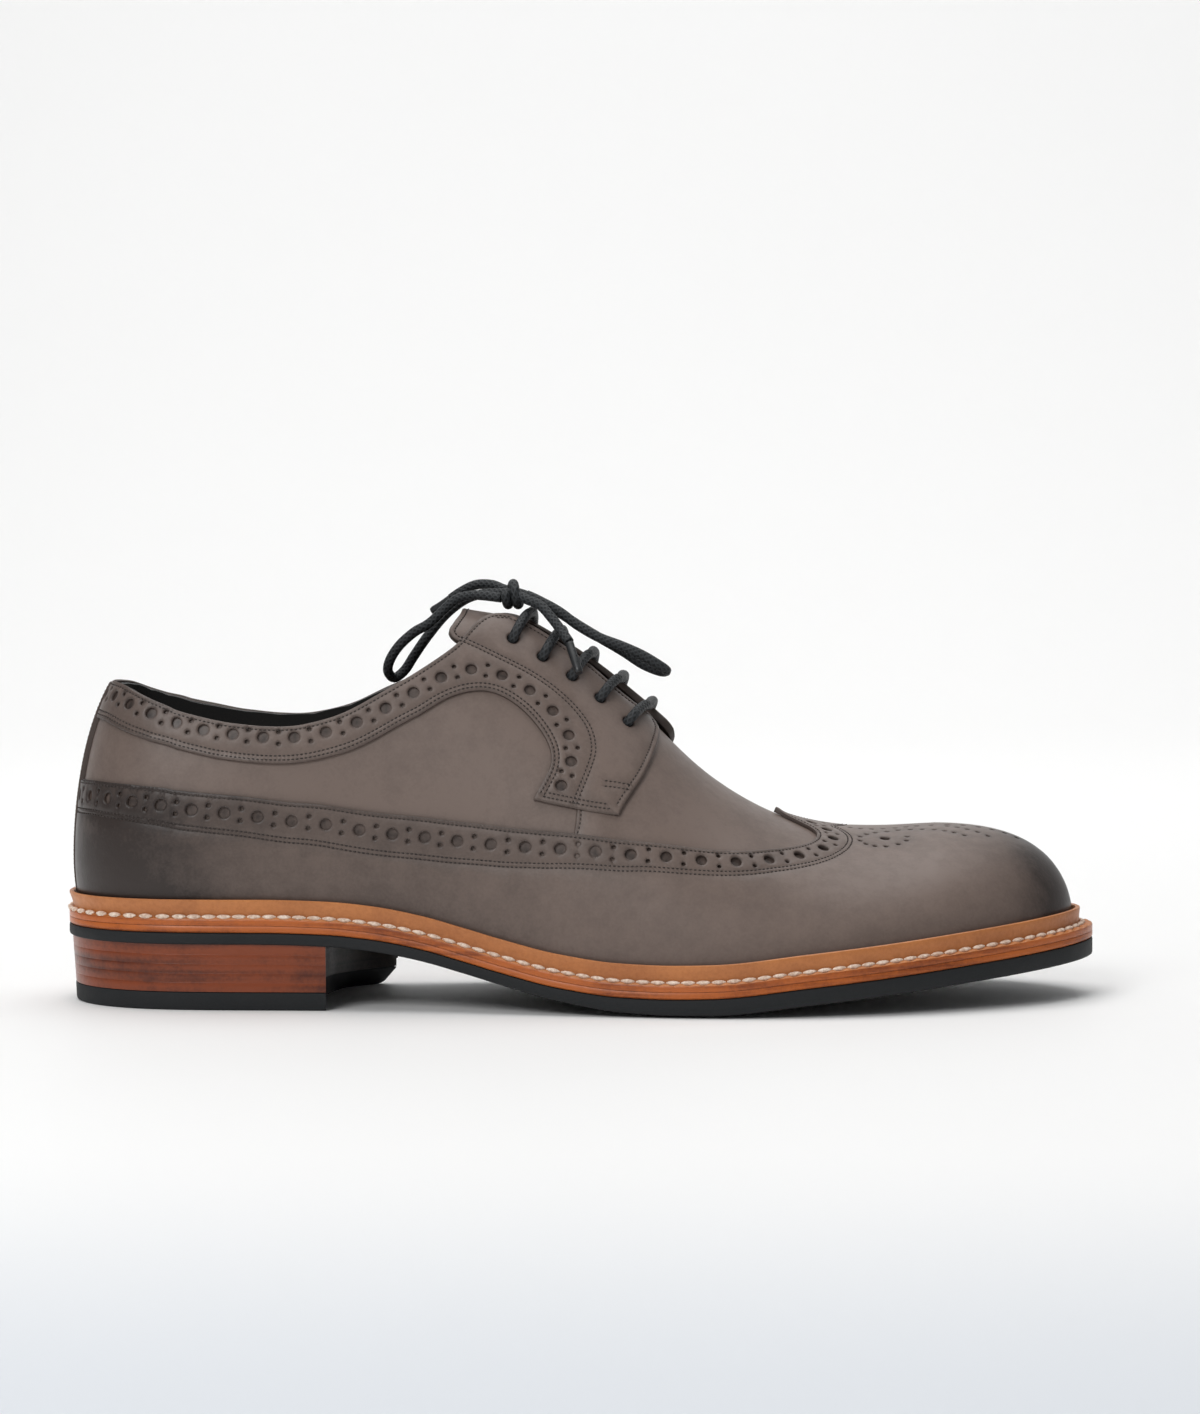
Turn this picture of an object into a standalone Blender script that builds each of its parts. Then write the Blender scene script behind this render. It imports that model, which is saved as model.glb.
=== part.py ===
"""Longwing brogue derby, right shoe: solid model.

Metres, +Z up, +X to the toe, the lateral side faces -Y, the floor is z = 0.
Tables are in millimetres. The upper is laid out on a last: ribs rise from the feather line to the
ridge, and pattern lines are drawn in flat pattern coordinates (distance along the shoe, distance
from the ridge over the surface, lateral side negative).
"""

import math

import bmesh
import bpy
import numpy as np
from mathutils import Vector
from mathutils.geometry import delaunay_2d_cdt

MM = 0.001
GAP = 0.35
# Feather outline of the upper, plan, clockwise from the heel back along the lateral side
FEATHER = (
    (-150.5, -0.8), (-148.6, -11.3), (-143.0, -20.3), (-134.0, -27.1), (-122.0, -31.0), (-106.0, -32.4),
    (-90.0, -32.8), (-70.0, -33.6), (-50.0, -35.4), (-30.0, -38.4), (-10.0, -42.1), (10.0, -46.0),
    (30.0, -49.0), (48.0, -49.6), (65.0, -48.0), (83.0, -44.0), (100.0, -37.6), (115.0, -30.0),
    (128.0, -21.1), (138.0, -11.4), (144.6, -1.8), (147.8, 7.8), (145.6, 17.8), (139.0, 27.8),
    (128.0, 36.4), (115.0, 42.2), (100.0, 46.4), (83.0, 49.1), (65.0, 49.5), (48.0, 48.1), (30.0, 44.8),
    (10.0, 39.8), (-10.0, 35.0), (-30.0, 31.2), (-50.0, 29.0), (-70.0, 28.2), (-90.0, 28.1), (-106.0, 28.0),
    (-122.0, 26.8), (-134.0, 23.4), (-143.0, 17.4), (-148.6, 9.0),
)
HEEL_X = -120.0
TOE_X = 106.0
# x, plan offset of the ridge, ridge height
RIDGE = (
    (-160.0, -0.8, 111.0), (-120.0, -0.8, 111.0), (-95.0, -0.6, 119.0), (-70.0, 0.0, 125.5), (-50.0, 0.5, 126.0),
    (-34.0, 1.0, 122.8), (-26.0, 1.2, 119.6), (-17.0, 1.4, 115.0), (-1.6, 1.8, 104.7), (10.9, 2.2, 92.8),
    (18.5, 2.5, 85.2), (24.6, 2.7, 78.6), (35.1, 3.1, 68.4), (45.4, 3.7, 61.2), (56.9, 6.0, 54.9),
    (67.2, 8.5, 51.3), (74.7, 11.0, 49.8), (82.6, 13.8, 48.9), (90.4, 15.9, 48.7), (98.0, 17.2, 48.9),
    (106.0, 18.0, 49.4), (160.0, 18.0, 49.4),
)
# x, height of the midsole's underside, outsole thickness
SOLE = (
    (-160.0, 23.0, 4.2), (-95.0, 23.0, 4.2), (-76.0, 22.5, 4.2), (-62.0, 21.2, 4.2), (-47.7, 18.6, 4.2),
    (-35.0, 15.2, 4.2), (-24.0, 12.1, 4.3), (-6.7, 8.0, 4.6), (10.7, 5.8, 5.1), (24.0, 5.4, 5.4),
    (38.0, 5.7, 5.7), (64.0, 8.4, 5.8), (90.8, 11.1, 5.8), (121.0, 14.3, 5.9), (160.0, 18.0, 6.1),
)
# x, plan fullness power, height power, bulge
RIBS = (
    (-150.5, 1.60, 3.60, 0.085), (-120.0, 1.60, 3.40, 0.080), (-90.0, 1.65, 3.20, 0.055), (-60.0, 1.70, 2.70, 0.030),
    (-30.0, 1.72, 2.25, 0.030), (0.0, 1.78, 2.05, 0.035), (25.0, 1.95, 2.00, 0.035), (50.0, 2.00, 2.00, 0.030),
    (80.0, 2.10, 2.10, 0.030), (110.0, 2.35, 2.30, 0.025), (130.0, 2.60, 2.50, 0.020), (147.8, 2.85, 2.60, 0.015),
)
LAYER = 1.5
FLOOR_OF_UPPER = 2.6


def smooth_curve(table, column, x):
    """Value of a table's column at x, by a monotone cubic through its rows."""
    xs = np.array([row[0] for row in table])
    ys = np.array([row[column] for row in table])
    width = np.diff(xs)
    slope = np.diff(ys) / width
    tangent = np.zeros(len(xs))
    inner = slope[:-1] * slope[1:] > 0
    w1 = 2 * width[1:] + width[:-1]
    w2 = width[1:] + 2 * width[:-1]
    with np.errstate(divide="ignore", invalid="ignore"):
        mean = (w1 + w2) / (w1 / slope[:-1] + w2 / slope[1:])
    tangent[1:-1] = np.where(inner, mean, 0.0)
    tangent[0] = slope[0]
    tangent[-1] = slope[-1]
    x = np.clip(np.asarray(x, float), xs[0], xs[-1])
    k = np.clip(np.searchsorted(xs, x, side="right") - 1, 0, len(xs) - 2)
    t = (x - xs[k]) / width[k]
    a = (1 + 2 * t) * (1 - t) ** 2
    b = t * (1 - t) ** 2
    c = t * t * (3 - 2 * t)
    d = t * t * (t - 1)
    return a * ys[k] + b * width[k] * tangent[k] + c * ys[k + 1] + d * width[k] * tangent[k + 1]


def closed_curve(points, count):
    """Evenly spaced points on a rounded closed curve through the given ones."""
    p = np.array(points, float)
    n = len(p)
    dense = []
    for i in range(n):
        a, b, c, d = p[i - 1], p[i], p[(i + 1) % n], p[(i + 2) % n]
        for t in np.linspace(0, 1, 24, endpoint=False):
            dense.append(0.5 * (2 * b + (c - a) * t + (2 * a - 5 * b + 4 * c - d) * t * t
                                + (3 * b - a - 3 * c + d) * t ** 3))
    dense = np.array(dense)
    step = np.linalg.norm(np.roll(dense, -1, 0) - dense, axis=1)
    run = np.concatenate([[0], np.cumsum(step)])
    at = np.linspace(0, run[-1], count, endpoint=False)
    loop = np.vstack([dense, dense[:1]])
    return np.column_stack([np.interp(at, run, loop[:, k]) for k in range(2)])


def outward(loop):
    """Unit plan normals of a loop that runs from the heel back along the lateral side."""
    along = np.roll(loop, -1, 0) - np.roll(loop, 1, 0)
    along /= np.linalg.norm(along, axis=1)[:, None]
    return np.column_stack([along[:, 1], -along[:, 0]])


def blurred(values, sigma, closed=True):
    reach = int(3 * sigma) + 1
    kernel = np.exp(-0.5 * (np.arange(-reach, reach + 1) / sigma) ** 2)
    kernel /= kernel.sum()
    mode = "wrap" if closed else "edge"
    return np.convolve(np.pad(values, reach, mode=mode), kernel, "valid")


FAN = 60
MID = 240
RISE = 96


class Last:
    """Ribs from the feather line up to the ridge: fans round heel and toe, straight across between."""

    def __init__(self):
        outline = closed_curve(FEATHER, 1440)
        outline = np.column_stack([blurred(outline[:, 0], 6), blurred(outline[:, 1], 6)])
        outline = outline - LAYER * outward(outline)
        self.outline = outline
        turn = np.linspace(0, math.pi / 2, FAN, endpoint=False)
        span = np.linspace(0, 1, MID, endpoint=False)
        centre, aim = [], []
        heel_y = float(smooth_curve(RIDGE, 1, HEEL_X))
        toe_y = float(smooth_curve(RIDGE, 1, TOE_X))
        middle = HEEL_X + (TOE_X - HEEL_X) * span
        ridge = smooth_curve(RIDGE, 1, middle)
        back = TOE_X + (HEEL_X - TOE_X) * span
        ridge_back = smooth_curve(RIDGE, 1, back)
        for t in turn:
            centre.append((HEEL_X, heel_y))
            aim.append((-math.cos(t), -math.sin(t)))
        for x, y in zip(middle, ridge):
            centre.append((x, y))
            aim.append((0.0, -1.0))
        for t in turn:
            centre.append((TOE_X, toe_y))
            aim.append((math.sin(t), -math.cos(t)))
        for t in turn:
            centre.append((TOE_X, toe_y))
            aim.append((math.cos(t), math.sin(t)))
        for x, y in zip(back, ridge_back):
            centre.append((x, y))
            aim.append((0.0, 1.0))
        for t in turn:
            centre.append((HEEL_X, heel_y))
            aim.append((-math.sin(t), math.cos(t)))
        self.centre = np.array(centre)
        self.aim = np.array(aim)
        self.count = len(centre)
        self.radius = np.array([self._reach(c, a) for c, a in zip(self.centre, self.aim)])
        feather = self.centre + self.aim * self.radius[:, None]
        self.feather = feather
        fx = feather[:, 0]
        low = smooth_curve(SOLE, 1, fx) + FLOOR_OF_UPPER
        top = smooth_curve(RIDGE, 2, self.centre[:, 0])
        full = blurred(smooth_curve(RIBS, 1, fx), 8)
        rise = blurred(smooth_curve(RIBS, 2, fx), 8)
        bulge = blurred(smooth_curve(RIBS, 3, fx), 8)
        low = blurred(low, 5)
        top = blurred(top, 5)
        angle = np.linspace(0, 1, 400) ** 1.5 * math.pi / 2
        s = np.sin(angle)[None] ** (2 / rise[:, None])
        c = np.clip(np.cos(angle), 0, 1)[None] ** (2 / full[:, None])
        swell = 1 + bulge[:, None] * (s / 0.23) * np.exp(1 - s / 0.23)
        out = self.radius[:, None] * c * swell
        z = low[:, None] + (top - low)[:, None] * s
        grid = np.stack([self.centre[:, 0, None] + self.aim[:, 0, None] * out,
                         self.centre[:, 1, None] + self.aim[:, 1, None] * out, z], axis=2)
        step = np.linalg.norm(np.diff(grid, axis=1), axis=2)
        run = np.concatenate([np.zeros((self.count, 1)), np.cumsum(step, axis=1)], axis=1)
        self.length = run[:, -1]
        self.grid = np.empty((self.count, RISE + 1, 3))
        for i in range(self.count):
            at = np.linspace(0, run[i, -1], RISE + 1)
            for k in range(3):
                self.grid[i, :, k] = np.interp(at, run[i], grid[i, :, k])
        around = np.roll(self.grid, -1, 0) - np.roll(self.grid, 1, 0)
        up = np.gradient(self.grid, axis=1)
        normal = np.cross(around, up)
        size = np.linalg.norm(normal, axis=2, keepdims=True)
        normal = normal / np.maximum(size, 1e-9)
        normal[:, -1] = normal[:, -2]
        for i in range(self.count):
            k = self._other(i)
            both = normal[i, -2] + normal[k, -2]
            normal[i, -1] = both / np.linalg.norm(both)
        heel = np.r_[0:FAN, self.count - FAN:self.count]
        toe = np.arange(FAN + MID, 3 * FAN + MID)
        for part in (heel, toe):
            mean = normal[part, -1].mean(axis=0)
            normal[part, -1] = mean / np.linalg.norm(mean)
        self.normal = normal

    def _other(self, i):
        return (self.count - i) % self.count

    def _reach(self, c, a):
        p = self.outline - c
        side = p[:, 0] * a[1] - p[:, 1] * a[0]
        ahead = p[:, 0] * a[0] + p[:, 1] * a[1]
        nxt = np.roll(side, -1)
        hit = (side * nxt <= 0) & (ahead > 0)
        i = np.nonzero(hit)[0]
        t = side[i] / (side[i] - nxt[i] + 1e-12)
        r = ahead[i] + t * (np.roll(ahead, -1)[i] - ahead[i])
        return float(r.max())

    def sample(self, rib, rise, lift=0.0):
        """Points at rib number (0..count, cyclic) and rise (0 feather, 1 ridge), lifted along the normal."""
        rib = np.asarray(rib, float) % self.count
        row = np.clip(np.asarray(rise, float), 0, 1) * RISE
        i = np.floor(rib).astype(int) % self.count
        j = np.minimum(np.floor(row).astype(int), RISE - 1)
        a = (rib - np.floor(rib))[..., None]
        b = (row - j)[..., None]
        k = (i + 1) % self.count

        def mix(g):
            return ((g[i, j] * (1 - a) + g[k, j] * a) * (1 - b)
                    + (g[i, j + 1] * (1 - a) + g[k, j + 1] * a) * b)
        n = mix(self.normal)
        n = n / np.linalg.norm(n, axis=-1, keepdims=True)
        return mix(self.grid) + n * np.asarray(lift, float)[..., None]

    def flat(self, rib, rise):
        """Pattern coordinates: the upper laid out flat, ridge on the axis."""
        rib = np.asarray(rib, float) % self.count
        size = np.interp(rib, np.arange(self.count + 1), np.append(self.length, self.length[0]))
        r = size * (1 - np.asarray(rise, float))
        cx = np.interp(rib, np.arange(self.count + 1), np.append(self.centre[:, 0], self.centre[0, 0]))
        ax = np.interp(rib, np.arange(self.count + 1), np.append(self.aim[:, 0], self.aim[0, 0]))
        ay = np.interp(rib, np.arange(self.count + 1), np.append(self.aim[:, 1], self.aim[0, 1]))
        h = np.hypot(ax, ay)
        return np.stack([cx + r * ax / h, r * ay / h], axis=-1)

    def rib_of(self, xy):
        """Rib number and rise of a point in pattern coordinates."""
        x, y = np.asarray(xy, float)[..., 0], np.asarray(xy, float)[..., 1]
        lateral = y <= 0
        heel = x < HEEL_X
        toe = x > TOE_X
        quarter = 2 / math.pi * FAN
        turn_h = np.arctan2(np.abs(y), HEEL_X - x)
        turn_t = np.arctan2(np.abs(y), x - TOE_X)
        along = (x - HEEL_X) / (TOE_X - HEEL_X) * MID
        rib = FAN + along
        rib = np.where(heel, turn_h * quarter, rib)
        rib = np.where(toe, 2 * FAN + MID - turn_t * quarter, rib)
        dist = np.where(heel, np.hypot(x - HEEL_X, y), np.where(toe, np.hypot(x - TOE_X, y), np.abs(y)))
        rib = np.where(lateral, rib, self.count - rib) % self.count
        size = np.interp(rib, np.arange(self.count + 1), np.append(self.length, self.length[0]))
        return rib, 1 - dist / size


WALL_INSIDE = 1.3
QUARTER = 0.7
# Pattern lines of the lateral half, flat pattern coordinates, from the heel back forward
TOPLINE = (
    (-146.6, 0.0), (-145.6, -6.6), (-143.2, -13.0), (-137.3, -22.4), (-130.2, -28.8), (-121.0, -33.4),
    (-112.7, -37.4), (-102.9, -42.9), (-92.9, -47.3), (-82.5, -49.9), (-71.5, -49.0), (-59.8, -43.5),
    (-48.2, -36.8), (-38.5, -28.2), (-33.9, -20.8), (-30.5, -15.4), (-26.8, -11.6), (-22.3, -9.3),
)
FACING_EDGE = ((-15.0, -9.0), (-7.0, -9.4), (2.0, -9.4), (10.0, -9.2), (15.2, -7.4), (18.0, -3.4))
BAND_LOW = (
    (-158.9, 0.0), (-157.8, -10.5), (-153.8, -21.2), (-147.0, -30.4), (-137.6, -38.6), (-126.6, -44.2),
    (-112.4, -50.6), (-97.7, -58.0), (-83.1, -62.4), (-71.3, -62.0), (-59.6, -57.6), (-47.9, -50.6),
    (-39.2, -44.2), (-31.6, -40.2), (-25.4, -38.9), (-18.8, -40.2), (-13.4, -43.6), (-10.0, -48.0),
    (-9.6, -53.0), (-11.4, -58.6), (-14.8, -66.4),
)
FACING_FRONT = (
    (-8.0, -65.3), (0.6, -62.6), (7.6, -59.4), (12.4, -54.0), (15.0, -46.6), (17.8, -36.6), (20.0, -26.6),
    (21.5, -16.4), (21.8, -9.6), (20.6, -4.9),
)
WING_TOP = (
    (-177.2, 0.0), (-175.6, -12.0), (-170.6, -25.0), (-162.6, -36.4), (-151.0, -46.1), (-133.0, -54.4),
    (-112.3, -60.4), (-98.0, -67.2), (-83.0, -73.1), (-68.4, -77.8), (-53.5, -80.2), (-38.8, -80.6),
    (-24.1, -78.9), (-13.4, -75.8), (-3.7, -72.0), (6.6, -66.6), (16.5, -60.8), (25.4, -55.4),
    (33.8, -50.4), (45.6, -44.6), (57.4, -38.9), (65.1, -32.5), (69.0, -26.4), (69.8, -19.6),
    (68.8, -13.8), (65.8, -8.2), (61.6, -3.8), (57.0, -1.0),
)
# x, flat distance of the vamp's and the toe's middle line from the ridge
TOE_AXIS = (
    (-160.0, 0.0), (50.0, 0.0), (57.0, -1.0), (70.0, -5.0), (80.0, -8.0), (90.0, -10.5), (106.0, -12.5), (165.0, -13.5),
)
SEAM = ((-1.6, -58.0), (-2.2, -66.0), (-3.4, -75.6))
MEDIAL_EDGE = 6.2
# x, how far the sole's edge stands out from the upper
OVERHANG = (
    (-160.0, 3.9), (-120.0, 4.6), (-90.0, 5.0), (-50.0, 5.2), (0.0, 5.6), (60.0, 5.8), (110.0, 6.0), (160.0, 6.9),
)
MIDSOLE_TOP = 1.9
WELT_LOW = 2.3
WELT_TOP = 4.3
LIP_RISE = 5.4
INSOLE_THICK = 2.6
TOP_PIECE = 5.3
# y, x of the heel's front face at its top
BREAST = ((-44.0, -74.8), (-34.0, -75.6), (-22.0, -78.0), (-8.0, -79.0), (6.0, -77.0), (16.0, -72.2),
          (24.0, -66.2), (31.0, -58.6), (44.0, -44.0))
# lateral eyelets, flat pattern coordinates
EYELETS = ((-21.3, -18.6), (-12.5, -19.8), (-3.9, -20.6), (4.3, -21.2), (12.5, -21.6))
LACE = 3.0
TONGUE_DIP = 4.2
TONGUE = (
    (-36.0, 0.0), (-37.6, -7.0), (-41.4, -14.0), (-42.4, -18.4), (-38.0, -21.4), (-26.0, -21.0),
    (-8.0, -18.6), (12.0, -16.6), (28.0, -14.0), (36.0, -8.6), (38.0, 0.0),
)


def colour(name, rgb, rough):
    material = bpy.data.materials.new(name)
    material.use_nodes = True
    shader = material.node_tree.nodes["Principled BSDF"]
    shader.inputs["Base Color"].default_value = (*rgb, 1.0)
    shader.inputs["Roughness"].default_value = rough
    return material


def add_solid(name, points, faces, material):
    """An object from points in millimetres and faces by point number, welded and facing out."""
    mesh = bpy.data.meshes.new(name)
    work = bmesh.new()
    made = [work.verts.new(Vector(p) * MM) for p in points]
    for face in faces:
        if len(set(face)) > 2:
            work.faces.new([made[i] for i in face])
    bmesh.ops.remove_doubles(work, verts=work.verts, dist=1e-6)
    bmesh.ops.recalc_face_normals(work, faces=work.faces)
    if work.calc_volume(signed=True) < 0:
        bmesh.ops.reverse_faces(work, faces=work.faces)
    work.to_mesh(mesh)
    work.free()
    item = bpy.data.objects.new(name, mesh)
    item.data.materials.append(material)
    bpy.context.collection.objects.link(item)
    return item


def mirrored(line):
    """The same pattern line on the other half, about the middle line."""
    return [(x, 2 * float(smooth_curve(TOE_AXIS, 1, x)) - y) for x, y in reversed(line)]


def inside(points, loop):
    """Which points lie inside a closed loop."""
    x, y = points[:, 0, None], points[:, 1, None]
    a = np.array(loop, float)
    b = np.roll(a, -1, 0)
    span = (a[:, 1] > y) != (b[:, 1] > y)
    with np.errstate(divide="ignore", invalid="ignore"):
        at = (b[:, 0] - a[:, 0]) * (y - a[:, 1]) / (b[:, 1] - a[:, 1]) + a[:, 0]
    return ((span & (x < at)).sum(axis=1) % 2) == 1


def clear_of(points, lines, distance):
    """The points that keep a distance from every line's segments."""
    keep = np.ones(len(points), bool)
    for line in lines:
        a = np.array(line[:-1], float)
        b = np.array(line[1:], float)
        d = b - a
        t = ((points[:, None] - a) * d).sum(2) / np.maximum((d * d).sum(1), 1e-9)
        near = a + np.clip(t, 0, 1)[..., None] * d
        keep &= np.hypot(*(points[:, None] - near).transpose(2, 0, 1)).min(axis=1) > distance
    return points[keep]


def triangulate(outer, holes, cuts, fill):
    """Triangles over a flat region; cuts are lines that triangle sides must follow."""
    points, edges = [], []
    for line, is_loop in [(outer, True)] + [(h, True) for h in holes] + [(c, False) for c in cuts]:
        first = len(points)
        points += [Vector(p) for p in line]
        edges += [(first + i, first + i + 1) for i in range(len(line) - 1)]
        if is_loop:
            edges.append((first + len(line) - 1, first))
    points += [Vector(p) for p in fill]
    out, _, faces, *_ = delaunay_2d_cdt(points, edges, [], 0, 1e-5)
    flat = np.array([(p.x, p.y) for p in out])
    faces = np.array([f for f in faces])
    middle = flat[faces].mean(axis=1)
    keep = inside(middle, outer)
    for hole in holes:
        keep &= ~inside(middle, hole)
    return flat, faces[keep]


def stepped_shell(flat, faces, level, low, place):
    """A closed skin: every triangle at its level and again at the low level, with walls at steps and rims."""
    points, index, quads = [], {}, []

    def corner(i, height):
        key = (int(i), float(height))
        if key not in index:
            index[key] = len(points)
            points.append(key)
        return index[key]

    present = {}
    sides = {}
    for f, height in zip(faces, level):
        quads.append([corner(i, height) for i in f])
        quads.append([corner(i, low) for i in reversed(f)])
        for k in range(3):
            a, b = int(f[k]), int(f[(k + 1) % 3])
            present.setdefault(a, {low}).add(float(height))
            sides.setdefault((min(a, b), max(a, b)), []).append((a, b, float(height)))
    for found in sides.values():
        a, b, top = found[0]
        bottom = low if len(found) == 1 else found[1][2]
        if top == bottom:
            continue
        if bottom > top:
            a, b, top = found[1]
            bottom = found[0][2]
        between = [h for h in sorted(present[a]) if bottom < h < top]
        after = [h for h in sorted(present[b]) if bottom < h < top]
        ring = [corner(b, top), corner(a, top)] + [corner(a, h) for h in reversed(between)]
        ring += [corner(a, bottom), corner(b, bottom)] + [corner(b, h) for h in after]
        quads.append(ring)
    ids = np.array([p[0] for p in points])
    heights = np.array([p[1] for p in points])
    return place(flat[ids], heights), quads


def rows_over(last, spacing):
    """Points spread evenly over the last, in flat pattern coordinates."""
    found = []
    rows = int(98 / spacing)
    for k in range(1, rows + 1):
        rise = (k - 0.5) / rows
        ribs = np.arange(last.count + 1.0)
        path = last.sample(ribs, np.full(len(ribs), rise))
        run = np.concatenate([[0], np.cumsum(np.linalg.norm(np.diff(path, axis=0), axis=1))])
        count = max(3, int(run[-1] / spacing))
        at = (np.arange(count) + 0.5 * (k % 2)) * run[-1] / count
        found.append(last.flat(np.interp(at, run, ribs), np.full(count, rise)))
    return np.vstack(found)


def on_last(last):
    def place(flat, lift):
        rib, rise = last.rib_of(flat)
        return last.sample(rib, rise, lift)
    return place


def opening():
    """Collar mouth and throat, flat pattern coordinates."""
    far_edge = [(x, -y * MEDIAL_EDGE / 9.4) for x, y in reversed(FACING_EDGE)]
    far_top = mirrored(TOPLINE[1:-4])
    bend = [(-22.3, 6.6), (-26.8, 8.8), (-30.5, 12.8), (-33.9, 18.8)]
    return list(TOPLINE) + list(FACING_EDGE) + far_edge + bend + far_top


def band_region(side):
    """Collar band and facing of one side, reaching past the opening's edge."""
    inner = [(19.0, -2.4), (8.0, -4.0), (-18.0, -4.0), (-26.0, -6.0), (-34.0, -12.0), (-48.0, -26.0),
             (-70.0, -38.0), (-92.0, -36.0), (-120.0, -20.0), (-132.0, 0.0)]
    loop = list(BAND_LOW) + list(FACING_FRONT) + inner
    return [(x, y * side) for x, y in loop]


def make_upper(last, leather):
    every = last.flat(np.arange(0, last.count, 5.0), np.zeros(last.count // 5))
    rim = [tuple(p) for p in every]
    mouth = opening()
    wing = list(WING_TOP) + mirrored(WING_TOP[1:-1])
    band = list(BAND_LOW) + list(FACING_FRONT) + [(19.4, -2.4)]
    cuts = [wing + wing[:1], band, mirrored(band), list(SEAM), mirrored(SEAM)]
    fill = rows_over(last, 7.6)
    fill = clear_of(fill, [rim + rim[:1], mouth + mouth[:1]] + cuts, 3.0)
    flat, faces = triangulate(rim, [mouth], cuts, fill)
    middle = flat[faces].mean(axis=1)
    level = np.where(middle[:, 0] < -2.5, QUARTER, 0.0)
    for side in (1, -1):
        level[inside(middle, band_region(side))] = LAYER
    level[~inside(middle, wing)] = LAYER
    points, quads = stepped_shell(flat, faces, level, -WALL_INSIDE, on_last(last))
    return add_solid("upper", points, quads, leather)


def make_tongue(last, leather):
    loop = list(TONGUE) + mirrored(TONGUE[1:-1])
    fill = [(x, y) for x in np.arange(-36, 36, 6.5) for y in np.arange(-18, 19, 6.0)]
    fill = clear_of(np.array(fill), [loop + loop[:1]], 2.5)
    fill = fill[inside(fill, loop)]
    flat, faces = triangulate(loop, [], [], fill)

    def place(flat, lift):
        rib, rise = last.rib_of(flat)
        t = np.clip((-14.0 - flat[:, 0]) / 22.0, 0, 1)
        return last.sample(rib, rise, lift - TONGUE_DIP * t * t * (3 - 2 * t))
    points, quads = stepped_shell(flat, faces, np.full(len(faces), -1.75), -3.8, place)
    return add_solid("tongue", points, quads, leather)


def sole_loop(last, inset, count=84):
    """Outline of the sole's edge, moved in by the inset."""
    base = closed_curve([tuple(p) for p in last.outline[::8]], count)
    out = LAYER + smooth_curve(OVERHANG, 1, base[:, 0]) - inset
    return base + outward(base) * out[:, None]


def cap_points(loop, height, spacing, steps=()):
    """Triangles over a loop, each at the height function plus its step."""
    low = loop.min(axis=0)
    high = loop.max(axis=0)
    fill = []
    for k, y in enumerate(np.arange(low[1], high[1], spacing * 0.87)):
        fill += [(x + (k % 2) * spacing / 2, y) for x in np.arange(low[0], high[0], spacing)]
    ring = [tuple(p) for p in loop]
    lines = [ring + ring[:1]] + [list(s) + list(s[:1]) for s, _ in steps]
    fill = clear_of(np.array(fill), lines, spacing * 0.45)
    fill = fill[inside(fill, ring)]
    flat, faces = triangulate(ring, [], lines[1:], fill)
    level = np.zeros(len(faces))
    for region, rise in steps:
        level[inside(flat[faces].mean(axis=1), region)] = rise
    points, index, quads, sides = [], {}, [], {}

    def corner(i, rise):
        key = (int(i), float(rise))
        if key not in index:
            index[key] = len(points)
            points.append((flat[i][0], flat[i][1], float(height(*flat[i])) + rise))
        return index[key]

    for f, rise in zip(faces, level):
        quads.append([corner(i, rise) for i in f])
        for k in range(3):
            a, b = int(f[k]), int(f[(k + 1) % 3])
            sides.setdefault((min(a, b), max(a, b)), []).append((a, b, rise))
    for found in sides.values():
        if len(found) == 2 and found[0][2] != found[1][2]:
            a, b, rise = found[0]
            quads.append([corner(b, rise), corner(a, rise), corner(a, found[1][2]), corner(b, found[1][2])])
    return points, quads


def make_plate(name, rings, top, low, material, spacing=14.0, steps=()):
    """A flat layer: rings of equal count from top to bottom, closed by caps that follow top and low."""
    points, faces = [], []
    for ring, height in rings:
        points += [(p[0], p[1], float(height(*p))) for p in ring]
    count = len(rings[0][0])
    for k in range(len(rings) - 1):
        for i in range(count):
            j = (i + 1) % count
            faces.append([k * count + i, k * count + j, (k + 1) * count + j, (k + 1) * count + i])
    for ring, height, cuts in ((rings[0][0], top, ()), (rings[-1][0], low, steps)):
        more, quads = cap_points(np.array(ring), height, spacing, cuts)
        faces += [[i + len(points) for i in q] for q in quads]
        points += more
    return add_solid(name, points, faces, material)


def mid_plane(x, y=0.0):
    return smooth_curve(SOLE, 1, x)


def tread(x, y=0.0):
    return np.maximum(mid_plane(x) - smooth_curve(SOLE, 2, x), 0.0)


def raised(base, amount):
    def height(x, y=0.0):
        return base(x) + amount
    return height


def make_outsole(last, rubber):
    edge = sole_loop(last, 0.0)
    soft = sole_loop(last, 0.5)
    pad = sole_loop(last, 3.4, 80)
    ahead = pad[(pad[:, 0] > 2.0)]
    start = int(np.argmax(np.abs(np.diff(ahead[:, 0], append=ahead[0, 0]))))
    ahead = np.roll(ahead, -start - 1, 0)
    rings = [(soft, raised(mid_plane, -0.15)), (edge, raised(mid_plane, -0.6)), (edge, raised(tread, 1.3)),
             (soft, raised(tread, 0.8))]
    tread_pad = [tuple(p) for p in ahead]
    return make_plate("outsole", rings, raised(mid_plane, -0.15), raised(tread, 0.8), rubber, 12.5,
                      ((tread_pad, -0.8),))


def make_midsole(last, leather):
    edge = sole_loop(last, 0.25)
    soft = sole_loop(last, 0.6)
    rings = [(soft, raised(mid_plane, MIDSOLE_TOP)), (edge, raised(mid_plane, MIDSOLE_TOP - 0.35)),
             (edge, raised(mid_plane, 0.6)), (soft, raised(mid_plane, 0.25))]
    return make_plate("midsole", rings, raised(mid_plane, MIDSOLE_TOP), raised(mid_plane, 0.25), leather)


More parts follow.
